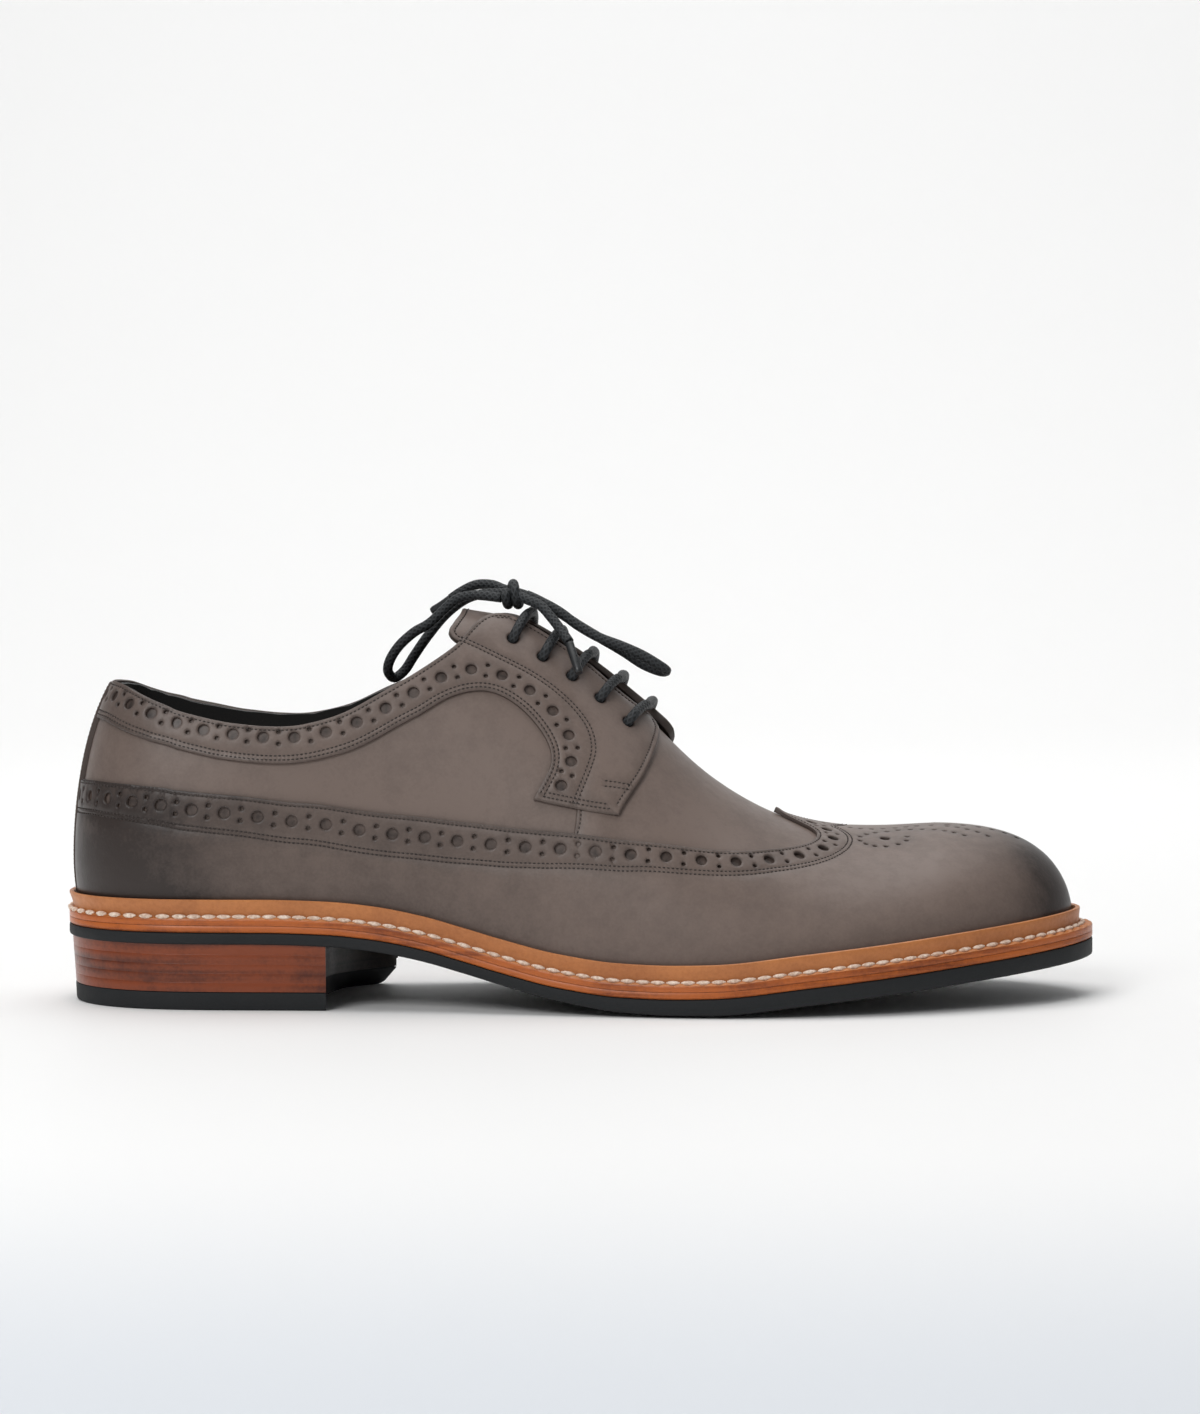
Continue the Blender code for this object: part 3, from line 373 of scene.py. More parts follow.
def opening():
    """Collar mouth and throat, flat pattern coordinates."""
    far_edge = [(x, -y * MEDIAL_EDGE / LATERAL_EDGE) for x, y in reversed(FACING_EDGE)]
    far_top = mirrored(TOPLINE[1:-4])
    bend = [(-22.3, 6.6), (-26.8, 8.8), (-30.5, 12.8), (-33.9, 18.8)]
    return list(TOPLINE) + list(FACING_EDGE) + far_edge + bend + far_top


def sole_loop(last, inset, count=84):
    """Outline of the sole's edge, moved in by the inset."""
    base = closed_curve([tuple(p) for p in last.outline[::8]], count)
    out = LAYER + smooth_curve(OVERHANG, 1, base[:, 0]) - inset
    return base + outward(base) * out[:, None]


def mid_plane(x, y=0.0):
    return smooth_curve(SOLE, 1, x)


def tread(x, y=0.0):
    return np.maximum(mid_plane(x) - smooth_curve(SOLE, 2, x), 0.0)


def raised(base, amount):
    def height(x, y=0.0):
        return base(x) + amount
    return height


def surface_reach(last, ribs, height):
    """How far the bare upper stands out from the feather line at a height."""
    found = []
    for rib, z in zip(ribs, height):
        line = last.grid[rib]
        out = (line[:, :2] - last.feather[rib]) @ last.aim[rib]
        k = int(np.argmax(line[:, 2] > z))
        k = max(k, 1)
        t = np.clip((z - line[k - 1, 2]) / (line[k, 2] - line[k - 1, 2]), 0, 1)
        found.append(out[k - 1] + t * (out[k] - out[k - 1]))
    return np.array(found)


# ---------------------------------------------------------------- laying pattern pieces on the last

def close_up(line):
    return np.vstack([line, line[:1]])


def lay(last, flat, lift=0.0):
    """Points of the flat pattern laid on the last, lifted from its surface."""
    rib, rise = last.rib_of(np.asarray(flat, float))
    return last.sample(rib, rise, lift)


def stretch(last, flat):
    """How the flat pattern is taken in when it is laid on the last: one 2 x 2 matrix for each point."""
    small = 0.08
    here = lay(last, flat)
    ahead = (lay(last, flat + [small, 0]) - here) / small
    aside = (lay(last, flat + [0, small]) - here) / small
    both = np.stack([ahead, aside], axis=-1)
    return np.einsum("nki,nkj->nij", both, both)


def rounded(points, closed=False, fine=14):
    """A rounded line through pattern points."""
    p = np.array(points, float)
    if closed:
        p = np.vstack([p[-1:], p, p[:2]])
    else:
        p = np.vstack([2 * p[0] - p[1], p, 2 * p[-1] - p[-2]])
    t = np.concatenate([[0], np.cumsum(np.linalg.norm(np.diff(p, axis=0), axis=1) ** 0.75 + 1e-9)])
    slope = (p[2:] - p[:-2]) / (t[2:] - t[:-2])[:, None]
    out = []
    for i in range(1, len(p) - 2):
        width = t[i + 1] - t[i]
        s = np.linspace(0, 1, fine, endpoint=False)[:, None]
        out.append((1 + 2 * s) * (1 - s) ** 2 * p[i] + s * (1 - s) ** 2 * width * slope[i - 1]
                   + s * s * (3 - 2 * s) * p[i + 1] + s * s * (s - 1) * width * slope[i])
    out = np.vstack(out)
    return out if closed else np.vstack([out, p[-2]])


def evenly(last, line, step, closed=False):
    """The line's points again, evenly spaced as measured on the last."""
    line = np.asarray(line, float)
    loop = close_up(line) if closed else line
    run = np.concatenate([[0], np.cumsum(np.linalg.norm(np.diff(lay(last, loop), axis=0), axis=1))])
    count = max(2, int(round(run[-1] / step)))
    at = np.linspace(0, run[-1], count + 1)
    even = np.column_stack([np.interp(at, run, loop[:, k]) for k in range(2)])
    return even[:-1] if closed else even


def beside(last, line, distance, closed=False):
    """The line moved to its left by a distance on the last."""
    line = np.asarray(line, float)
    if closed:
        along = np.roll(line, -1, 0) - np.roll(line, 1, 0)
    else:
        along = np.gradient(line, axis=0)
    take = stretch(last, line)
    turned = np.stack([-along[:, 1], along[:, 0]], axis=-1)
    left = np.linalg.solve(take, turned[..., None])[..., 0]
    size = np.sqrt(np.einsum("ni,nij,nj->n", left, take, left))
    return line + left / size[:, None] * np.asarray(distance, float).reshape(-1, 1)


def ring_round(last, centre, radius, count):
    """A ring on the last round one pattern point, as pattern points."""
    take = stretch(last, np.array([centre], float))[0]
    values, vectors = np.linalg.eigh(take)
    shrink = vectors @ np.diag(1 / np.sqrt(values)) @ vectors.T
    turn = np.linspace(0, 2 * math.pi, count, endpoint=False)
    return np.array(centre) + radius * np.column_stack([np.cos(turn), np.sin(turn)]) @ shrink


def nearest(points):
    tree = KDTree(len(points))
    for i, p in enumerate(points):
        tree.insert(p, i)
    tree.balance()
    return tree


def distances_to(tree, points):
    return np.array([tree.find(point)[2] for point in points])


def distances(points, others):
    """Distance of each point from the nearest of the others."""
    if len(others) == 0:
        return np.full(len(points), 1e9)
    return distances_to(nearest(others), points)


# ---------------------------------------------------------------- cutting leather

class Piece:
    """One leather piece: its outline, openings, punched holes and stitched rows in the flat pattern."""

    def __init__(self, outline, openings=(), punches=(), rows=()):
        self.outline = np.asarray(outline, float)
        self.openings = [np.asarray(o, float) for o in openings]
        self.punches = list(punches)
        self.rows = [np.asarray(r, float) for r in rows]


def cut_flat(last, piece, spacing):
    """The piece cut out flat: even triangles, close together along edges, holes and stitched rows."""
    edges = [piece.outline] + piece.openings
    fixed, links, close = [], [], []
    for line in edges:
        first = len(fixed)
        fixed += [tuple(p) for p in line]
        links += [(first + i, first + (i + 1) % len(line)) for i in range(len(line))]
    rims = []
    for centre, radius, count in piece.punches:
        ring = ring_round(last, centre, radius, count)
        first = len(fixed)
        fixed += [tuple(p) for p in ring]
        links += [(first + i, first + (i + 1) % count) for i in range(count)]
        rims.append(ring)
        close.append(ring_round(last, centre, radius + 0.28, count))
        close.append(ring_round(last, centre, radius + 0.75, count))
    for line in edges:
        area = 0.5 * np.sum(line[:, 0] * np.roll(line[:, 1], -1) - line[:, 1] * np.roll(line[:, 0], -1))
        inward = 1 if area > 0 else -1
        if line is not piece.outline:
            inward = -inward
        for depth in (0.3, 0.95):
            close.append(beside(last, line, depth * inward, closed=True))
    for row in piece.rows:
        centre = evenly(last, row, 1.2)
        close.append(centre)
        close.append(beside(last, centre, 0.45))
        close.append(beside(last, centre, -0.45))
    rim_points = np.array(fixed)
    near = np.vstack(close) if close else np.empty((0, 2))
    near = near[inside(near, piece.outline)]
    for opening in piece.openings:
        near = near[~inside(near, opening)]
    near = near[distances(lay(last, near), lay(last, rim_points)) > 0.2]
    near = near[not_punched(last, near, piece.punches, 0.05)]
    near = thinned(last, near, 0.24)
    fill = rows_over(last, spacing)
    fill = fill[inside(fill, piece.outline)]
    for opening in piece.openings:
        fill = fill[~inside(fill, opening)]
    fill = fill[not_punched(last, fill, piece.punches, 0.3)]
    fill = fill[distances(lay(last, fill), lay(last, np.vstack([rim_points, near]))) > 0.62 * spacing]
    points = [Vector(p) for p in np.vstack([rim_points, near, fill])]
    flat, _, faces, *_ = delaunay_2d_cdt(points, links, [], 0, 1e-5)
    flat = np.array([(p.x, p.y) for p in flat])
    faces = np.array([f for f in faces])
    middle = flat[faces].mean(axis=1)
    keep = inside(middle, piece.outline)
    for opening in piece.openings:
        keep &= ~inside(middle, opening)
    for (centre, radius, count), ring in zip(piece.punches, rims):
        box = np.abs(middle - centre).max(axis=1) < 4 * radius + 2
        found = np.nonzero(box)[0]
        keep[found[inside(middle[found], ring)]] = False
    return flat, faces[keep]


def not_punched(last, points, punches, margin):
    keep = np.ones(len(points), bool)
    if not len(points):
        return keep
    placed = lay(last, points)
    for centre, radius, _ in punches:
        at = lay(last, np.array([centre]))[0]
        keep &= np.linalg.norm(placed - at, axis=1) > radius + margin
    return keep


def thinned(last, points, distance):
    """The points without those that crowd an earlier one."""
    placed = lay(last, points)
    tree = nearest(placed)
    gone = np.zeros(len(points), bool)
    for i, p in enumerate(placed):
        if gone[i]:
            continue
        for _, k, _ in tree.find_range(p, distance):
            if k > i:
                gone[k] = True
    return points[~gone]


def rim_lines(flat, faces):
    """Corner numbers that lie on an edge of the cut piece."""
    ends = np.sort(np.concatenate([faces[:, [0, 1]], faces[:, [1, 2]], faces[:, [2, 0]]]), axis=1)
    pairs, counts = np.unique(ends, axis=0, return_counts=True)
    return np.unique(pairs[counts == 1])


def sew_piece(name, last, piece, top, low, finishes, spacing=2.3, seam_depth=0.26, skive=0.3, tone=None,
              shape=None):
    """Cuts a piece, gives it its thickness, presses in its seams, rounds its edges and lays it on the last."""
    flat, faces = cut_flat(last, piece, spacing)
    base = lay(last, flat)
    rim = distances(base, base[rim_lines(flat, faces)])
    level = np.full(len(flat), float(top)) if np.isscalar(top) else top(flat, base)
    level = level - skive * np.clip(1 - rim / 0.5, 0, 1) ** 2
    seam = np.zeros(len(flat))
    if piece.rows:
        thread = np.vstack([evenly(last, row, 0.4) for row in piece.rows])
        away = distances(base, lay(last, thread))
        # painted shade: the leather is painted darker along the pressed stitch grooves
        seam = np.exp(-(away / 0.5) ** 2)
        level = level - seam_depth * np.exp(-(away / 0.42) ** 2)
    sheet = bmesh.new()
    made = [sheet.verts.new((x, y, 0)) for x, y in flat]
    for f in faces:
        sheet.faces.new([made[i] for i in f])
    sheet.verts.ensure_lookup_table()
    number = sheet.verts.layers.int.new("number")
    side = sheet.verts.layers.int.new("side")
    for i, vert in enumerate(sheet.verts):
        vert[number] = i
        vert[side] = 0
    grown = bmesh.ops.extrude_face_region(sheet, geom=sheet.faces[:])["geom"]
    for item in grown:
        if isinstance(item, bmesh.types.BMVert):
            item[side] = 1
    order = np.array([v[number] for v in sheet.verts])
    upper_side = np.array([v[side] for v in sheet.verts]) == 1
    under = np.full(len(flat), float(low)) if np.isscalar(low) else low(flat, base)
    lift = np.where(upper_side, level[order], under[order])
    placed = lay(last, flat[order], lift) if shape is None else shape(flat[order], lift)
    for vert, at in zip(sheet.verts, placed):
        vert.co = at * MM
    bmesh.ops.recalc_face_normals(sheet, faces=sheet.faces)
    for face in sheet.faces:
        sides = {vert[side] for vert in face.verts}
        face.material_index = 1 if len(sides) == 2 else (0 if 1 in sides else len(finishes) - 1)
    mesh = finished_mesh(name, sheet, LEATHER_CREASE)
    shade = mesh.attributes.new("tone", "FLOAT", "POINT")
    # tone: painted shade along the stitch grooves plus the piece's own tone function
    value = 0.3 * seam + (0.0 if tone is None else tone(flat, base, rim))
    shade.data.foreach_set("value", value[order].astype(np.float32))
    return as_object(name, mesh, finishes)


def finished_mesh(name, body, crease):
    """The body as a mesh, smooth but for edges sharper than the crease angle."""
    for face in body.faces:
        face.smooth = True
    for edge in body.edges:
        if len(edge.link_faces) == 2 and edge.calc_face_angle(0) > math.radians(crease):
            edge.smooth = False
    mesh = bpy.data.meshes.new(name)
    body.to_mesh(mesh)
    body.free()
    return mesh


def as_object(name, mesh, finishes):
    item = bpy.data.objects.new(name, mesh)
    for finish in finishes:
        mesh.materials.append(finish)
    bpy.context.scene.collection.objects.link(item)
    return item


# ---------------------------------------------------------------- finishes

class Recipe:
    """A finish under construction: a material with its shader and a short way to add nodes."""

    def __init__(self, name):
        self.material = bpy.data.materials.new(name)
        self.material.use_nodes = True
        self.tree = self.material.node_tree
        self.shader = self.tree.nodes["Principled BSDF"]
        self.place = self.add("ShaderNodeTexCoord").outputs["Object"]

    def add(self, kind, settings=(), **inputs):
        made = self.tree.nodes.new(kind)
        for key, value in dict(settings).items():
            setattr(made, key, value)
        for key, value in inputs.items():
            self.give(made.inputs[key.replace("_", " ")], value)
        return made

    def give(self, socket, value):
        if isinstance(value, bpy.types.NodeSocket):
            self.tree.links.new(value, socket)
        else:
            socket.default_value = value

    def noise(self, scale, detail=3.0, rough=0.55, place=None):
        return self.add("ShaderNodeTexNoise", Vector=place or self.place, Scale=scale, Detail=detail,
                        Roughness=rough).outputs["Fac"]

    def stretched(self, scale):
        return self.add("ShaderNodeMapping", Vector=self.place, Scale=scale).outputs["Vector"]

    def span(self, value, low, high, to_low=0.0, to_high=1.0, smooth=True):
        made = self.add("ShaderNodeMapRange", [("interpolation_type", "SMOOTHSTEP" if smooth else "LINEAR")],
                        Value=value)
        for key, number in (("From Min", low), ("From Max", high), ("To Min", to_low), ("To Max", to_high)):
            made.inputs[key].default_value = number
        return made.outputs["Result"]

    def sum(self, a, b, kind="ADD"):
        made = self.add("ShaderNodeMath", [("operation", kind)])
        self.give(made.inputs[0], a)
        self.give(made.inputs[1], b)
        return made.outputs[0]

    def blend(self, share, a, b):
        made = self.add("ShaderNodeMix", [("data_type", "RGBA")])
        self.give(made.inputs["Factor"], share)
        for socket, value in ((made.inputs[6], a), (made.inputs[7], b)):
            self.give(socket, value if isinstance(value, bpy.types.NodeSocket) else (*value, 1.0))
        return made.outputs[2]

    def bump(self, height, strength, depth_mm, under=None):
        made = self.add("ShaderNodeBump", Height=height, Strength=strength, Distance=depth_mm * MM)
        if under is not None:
            self.give(made.inputs["Normal"], under)
        return made.outputs["Normal"]

    def attribute(self, name):
        return self.add("ShaderNodeAttribute", [("attribute_name", name)]).outputs["Fac"]

    def finished(self, colour, rough, normal=None, **constants):
        self.give(self.shader.inputs["Base Color"], colour)
        self.give(self.shader.inputs["Roughness"], rough)
        if normal is not None:
            self.give(self.shader.inputs["Normal"], normal)
        for key, value in constants.items():
            self.shader.inputs[key.replace("_", " ")].default_value = value
        return self.material


def calf(name, light, deep, coat=0.16):
    """Smooth dyed calf: fine grain, cloudy hand finish, darker where the piece's tone says so: burnish, and painted
    shade in holes, along stitch grooves and along edges.
    """
    r = Recipe(name)
    cloud = r.noise(34.0, 5.0, 0.6)
    fleck = r.noise(240.0, 4.0, 0.6)
    tone = r.attribute("tone")
    share = r.sum(tone, r.span(cloud, 0.32, 0.68, -0.09, 0.11))
    share = r.sum(share, r.span(fleck, 0.35, 0.7, -0.045, 0.06))
    share = r.sum(share, r.span(r.noise(1100.0, 3.0, 0.65), 0.35, 0.65, -0.035, 0.05))
    # the tone attribute carries burnish and painted shade
    body = r.blend(r.span(share, 0.0, 1.0, 0.0, 1.0, smooth=False), light, deep)
    pores = r.add("ShaderNodeTexVoronoi", [("feature", "SMOOTH_F1")], Vector=r.place, Scale=1300.0,
                  Randomness=1.0).outputs["Distance"]
    wrinkle = r.noise(620.0, 3.0, 0.6)
    height = r.sum(r.sum(pores, 0.55, "MULTIPLY"), wrinkle)
    soft = r.bump(r.noise(60.0, 3.0, 0.5), 0.25, 0.5)
    normal = r.bump(height, 0.34, 0.14, under=soft)
    rough = r.span(r.sum(fleck, r.sum(tone, -0.35, "MULTIPLY")), 0.0, 0.8, 0.40, 0.55)
    return r.finished(body, rough, normal, Coat_Weight=coat, Coat_Roughness=0.36, Specular_IOR_Level=0.34)


def cut_edge(name, colour, rough=0.6):
    """The dyed, slightly rough side of a cut leather piece."""
    r = Recipe(name)
    fibre = r.noise(900.0, 3.0, 0.65)
    body = r.blend(fibre, colour, tuple(1.5 * c for c in colour))
    return r.finished(body, rough, r.bump(fibre, 0.4, 0.15))


def dressed_edge(name, light, deep, streaks=0.3, gloss=0.36, line=900.0, coat=0.3):
    """A sanded, waxed sole edge: fibres run along it in fine flat lines."""
    r = Recipe(name)
    flat_lines = r.noise(1.0, 2.0, 0.5, r.stretched((9.0, 9.0, line)))
    fibre = r.noise(900.0, 4.0, 0.7)
    cloud = r.noise(28.0, 4.0, 0.6)
    share = r.sum(r.sum(flat_lines, streaks, "MULTIPLY"), r.sum(fibre, 0.2, "MULTIPLY"))
    share = r.sum(share, r.sum(cloud, 0.7, "MULTIPLY"))
    body = r.blend(r.span(share, 0.38 + 0.5 * streaks, 0.62 + 0.5 * streaks), light, deep)
    normal = r.bump(r.sum(flat_lines, r.sum(fibre, 0.5, "MULTIPLY")), 0.16, 0.10)
    rough = r.span(fibre, 0.3, 0.8, gloss - 0.06, gloss + 0.12)
    return r.finished(body, rough, normal, Coat_Weight=coat, Coat_Roughness=0.3, Specular_IOR_Level=0.3)


def welt_tan(name, light, deep):
    r = Recipe(name)
    cloud = r.noise(55.0, 5.0, 0.62)
    fibre = r.noise(800.0, 4.0, 0.7)
    tone = r.attribute("tone")
    share = r.sum(r.span(cloud, 0.3, 0.7, 0.0, 0.45), r.span(fibre, 0.35, 0.7, 0.0, 0.25))
    body = r.blend(r.sum(share, tone), light, deep)
    normal = r.bump(r.sum(fibre, r.noise(260.0, 3.0, 0.6)), 0.35, 0.18)
    return r.finished(body, r.span(fibre, 0.3, 0.8, 0.42, 0.6), normal, Coat_Weight=0.12, Coat_Roughness=0.35)


def sole_rubber(name, colour):
    r = Recipe(name)
    speck = r.noise(1500.0, 2.0, 0.5)
    cloud = r.noise(45.0, 4.0, 0.6)
    body = r.blend(r.sum(r.sum(speck, 0.4, "MULTIPLY"), r.sum(cloud, 0.6, "MULTIPLY")), colour,
                   tuple(1.9 * c for c in colour))
    normal = r.bump(r.sum(speck, r.noise(420.0, 3.0, 0.6)), 0.3, 0.12)
    return r.finished(body, r.span(cloud, 0.3, 0.7, 0.56, 0.72), normal, Specular_IOR_Level=0.28)


def waxed_cord(name, colour):
    """Round braid: two sets of strands cross along the cord; their crests are painted lighter as a painted highlight
    on the wax.
    """
    r = Recipe(name)
    unwrapped = r.add("ShaderNodeUVMap", [("uv_map", "UVMap")]).outputs["UV"]
    split = r.add("ShaderNodeSeparateXYZ", Vector=unwrapped)
    around, along = split.outputs[0], split.outputs[1]

    def strand(turns):
        phase = r.sum(r.sum(along, 5.2, "MULTIPLY"), r.sum(around, turns, "MULTIPLY"))
        return r.sum(r.sum(phase, 2 * math.pi, "MULTIPLY"), 0.0, "SINE")
    weave = r.sum(strand(6.0), strand(-6.0), "MAXIMUM")
    fuzz = r.noise(1900.0, 3.0, 0.6)
    # painted highlight: the strand crests are painted up to 3.2 times lighter
    body = r.blend(r.span(r.sum(weave, fuzz), 0.2, 1.6), colour, tuple(3.2 * c for c in colour))
    normal = r.bump(r.sum(weave, r.sum(fuzz, 0.8, "MULTIPLY")), 0.55, 0.22)
    return r.finished(body, r.span(fuzz, 0.3, 0.7, 0.46, 0.62), normal, Specular_IOR_Level=0.35)


def plain_yarn(name, light, deep, scale=1500.0):
    r = Recipe(name)
    twist = r.noise(scale, 3.0, 0.6)
    body = r.blend(r.span(twist, 0.3, 0.7), light, deep)
    return r.finished(body, 0.7, r.bump(twist, 0.5, 0.1))


def fleece(name, colour):
    """Dark soft lining."""
    r = Recipe(name)
    pile = r.noise(1700.0, 4.0, 0.7)
    body = r.blend(pile, colour, tuple(2.2 * c for c in colour))
    return r.finished(body, 0.85, r.bump(pile, 0.7, 0.3), Sheen_Weight=0.25)


def natural_sock(name, light, deep):
    r = Recipe(name)
    cloud = r.noise(30.0, 5.0, 0.6)
    grain = r.noise(700.0, 4.0, 0.6)
    body = r.blend(r.span(r.sum(cloud, r.sum(grain, 0.4, "MULTIPLY")), 0.4, 1.0), light, deep)
    return r.finished(body, 0.5, r.bump(grain, 0.3, 0.15))


def tip_plastic(name, colour):
    r = Recipe(name)
    scuff = r.noise(500.0, 4.0, 0.7)
    body = r.blend(scuff, colour, tuple(2.0 * c for c in colour))
    return r.finished(body, r.span(scuff, 0.3, 0.7, 0.26, 0.42), r.bump(scuff, 0.15, 0.05))


# ---------------------------------------------------------------- stitches and cords

def stitch_rows(name, last, rows, lift, finish, shape=None):
    """A row of short thread stitches along each pattern line."""
    one = bmesh.new()
    bmesh.ops.create_icosphere(one, subdivisions=1, radius=0.5)
    bmesh.ops.scale(one, vec=STITCH, verts=one.verts)

    def on_shoe(flat, height):
        return lay(last, flat, height) if shape is None else shape(flat, np.full(len(flat), float(height)))
    places, frames = [], []
    for row in rows:
        line = evenly(last, row, PITCH)
        half = 0.5 * (line[1:] + line[:-1])
        at = on_shoe(half, lift)
        along = on_shoe(line[1:], lift) - on_shoe(line[:-1], lift)
        along /= np.linalg.norm(along, axis=1, keepdims=True)
        up = on_shoe(half, 1.0) - on_shoe(half, 0.0)
        across = np.cross(up, along)
        across /= np.linalg.norm(across, axis=1, keepdims=True)
        places.append(at)
        frames.append(np.stack([along, across, np.cross(along, across)], axis=1))
    return repeated(name, one, np.vstack(places), np.vstack(frames), finish)


def repeated(name, one, places, frames, finish):
    """One small shape set at every place, turned by its frame."""
    pattern, placed, mesh = (bpy.data.meshes.new(name) for _ in range(3))
    for face in one.faces:
        face.smooth = True
    one.to_mesh(pattern)
    many = bmesh.new()
    for place, axes in zip(places, frames):
        one.clear()
        one.from_mesh(pattern)
        turned = Matrix([list(row) for row in axes]).transposed().to_4x4()
        bmesh.ops.transform(one, matrix=Matrix.Translation(Vector(place)) @ turned, verts=one.verts)
        bmesh.ops.scale(one, vec=(MM, MM, MM), verts=one.verts)
        one.to_mesh(placed)
        many.from_mesh(placed)
    many.to_mesh(mesh)
    many.free()
    one.free()
    for spare in (pattern, placed):
        bpy.data.meshes.remove(spare)
    mesh.name = name
    return as_object(name, mesh, [finish])


def spaced(path, step):
    """A rounded path through points in space, with even steps."""
    p = np.array(path, float)
    dense = []
    for i in range(len(p) - 1):
        a, b, c, d = p[max(i - 1, 0)], p[i], p[i + 1], p[min(i + 2, len(p) - 1)]
        for t in np.linspace(0, 1, 16, endpoint=False):
            dense.append(0.5 * (2 * b + (c - a) * t + (2 * a - 5 * b + 4 * c - d) * t * t
                                + (3 * b - a - 3 * c + d) * t ** 3))
    dense = np.array(dense + [p[-1]])
    run = np.concatenate([[0], np.cumsum(np.linalg.norm(np.diff(dense, axis=0), axis=1))])
    at = np.linspace(0, run[-1], max(4, int(run[-1] / step)) + 1)
    return np.column_stack([np.interp(at, run, dense[:, k]) for k in range(3)])


def tube(name, path, thickness, finish, sides=14, step=0.7, ends=(1.0, 1.0)):
    """A round cord drawn along a path; the ends taper to a share of its thickness."""
    line = spaced(path, step)
    along = np.gradient(line, axis=0)
    along /= np.linalg.norm(along, axis=1, keepdims=True)
    run = np.concatenate([[0], np.cumsum(np.linalg.norm(np.diff(line, axis=0), axis=1))])
    cord = bmesh.new()
    turn = cord.verts.layers.float.new("turn")
    far = cord.verts.layers.float.new("far")
    sheet = cord.loops.layers.uv.new("UVMap")
    ring = bmesh.ops.create_circle(cord, cap_ends=True, segments=sides, radius=thickness / 2)["verts"]
    first = Vector((0, 0, 1)) if abs(along[0][2]) < 0.9 else Vector((0, 1, 0))
    side = Vector(along[0]).cross(first).normalized()
    for k, (at, ahead) in enumerate(zip(line, along)):
        ahead = Vector(ahead)
        side = (side - ahead * side.dot(ahead)).normalized()
        up = ahead.cross(side)
        if k:
            edges = list({e for v in ring for e in v.link_edges if all(x in ring for x in e.verts)})
            grown = bmesh.ops.extrude_edge_only(cord, edges=edges)["geom"]
            new = [g for g in grown if isinstance(g, bmesh.types.BMVert)]
            by_turn = {}
            for v in new:
                by_turn[round(v[turn], 4)] = v
            ring = [by_turn[round(v[turn], 4)] for v in ring]
        near_end = min(1.0, run[k] / (0.5 * thickness)), min(1.0, (run[-1] - run[k]) / (0.5 * thickness))
        size = thickness / 2
        for share, close in zip(ends, near_end):
            size *= share + (1 - share) * math.sqrt(max(0.0, 1 - (1 - close) ** 2))
        for i, v in enumerate(ring):
            angle = 2 * math.pi * i / sides
            v.co = (Vector(at) + size * (math.cos(angle) * side + math.sin(angle) * up)) * MM
            v[turn] = i / sides
            v[far] = run[k]
    bmesh.ops.contextual_create(cord, geom=ring)
    bmesh.ops.recalc_face_normals(cord, faces=cord.faces)
    for face in cord.faces:
        face.smooth = len(face.verts) == 4
        turns = [loop.vert[turn] for loop in face.loops]
        for loop, value in zip(face.loops, turns):
            wrapped = value + 1 if value < 0.25 and max(turns) > 0.7 else value
            loop[sheet].uv = (wrapped, loop.vert[far] / (math.pi * thickness))
    mesh = bpy.data.meshes.new(name)
    cord.to_mesh(mesh)
    cord.free()
    return as_object(name, mesh, [finish]), line


# ---------------------------------------------------------------- sole layers

def sole_reach(last, inset, count=1440):
    """Distance of the sole's edge from the middle line along every rib."""
    edge = sole_loop(last, inset, count)
    return reach_to(edge, last.centre, last.aim)


def sole_ring(last, reach, height, share=1.0):
    """A ring of points at a share of the reach, each at the height function."""
    plan = last.centre + last.aim * (reach * share)[:, None]
    return np.column_stack([plan, height(plan[:, 0], plan[:, 1])])


def ring_edges(body, ring):
    return [body.edges.get((a, b)) for a, b in zip(ring, ring[1:] + ring[:1])]


def next_ring(body, ring, number, slot=0):
    """Grows a ring of edges once; the new ring keeps the order of the old."""
    grown = bmesh.ops.extrude_edge_only(body, edges=ring_edges(body, ring))["geom"]
    for item in grown:
        if isinstance(item, bmesh.types.BMFace):
            item.material_index = slot
    found = {item[number]: item for item in grown if isinstance(item, bmesh.types.BMVert)}
    return [found[i] for i in range(len(ring))]


def layered(name, rings, finishes, closed=False, slots=None):
    """A solid built ring by ring: closed joins the last ring to the first, else both ends meet in the middle."""
    count = len(rings[0])
    body = bmesh.new()
    number = body.verts.layers.int.new("number")
    shade = body.verts.layers.float.new("tone")
    ring = bmesh.ops.create_circle(body, cap_ends=False, segments=count, radius=1.0)["verts"]
    for i, v in enumerate(ring):
        v[number] = i
    first = None
    for k, points in enumerate(rings):
        if k:
            ring = next_ring(body, ring, number, slots[k - 1] if slots else 0)
        for v, at in zip(ring, points):
            v.co = Vector(at) * MM
            v[shade] = 0.0
        first = first or list(ring)
    if closed:
        edges = ring_edges(body, ring) + ring_edges(body, first)
        made = bmesh.ops.bridge_loops(body, edges=edges)["faces"]
        for face in made:
            face.material_index = slots[-1] if slots else 0
    bmesh.ops.remove_doubles(body, verts=body.verts, dist=2e-6)
    bmesh.ops.recalc_face_normals(body, faces=body.faces)
    return as_object(name, finished_mesh(name, body, SOLE_CREASE), finishes)


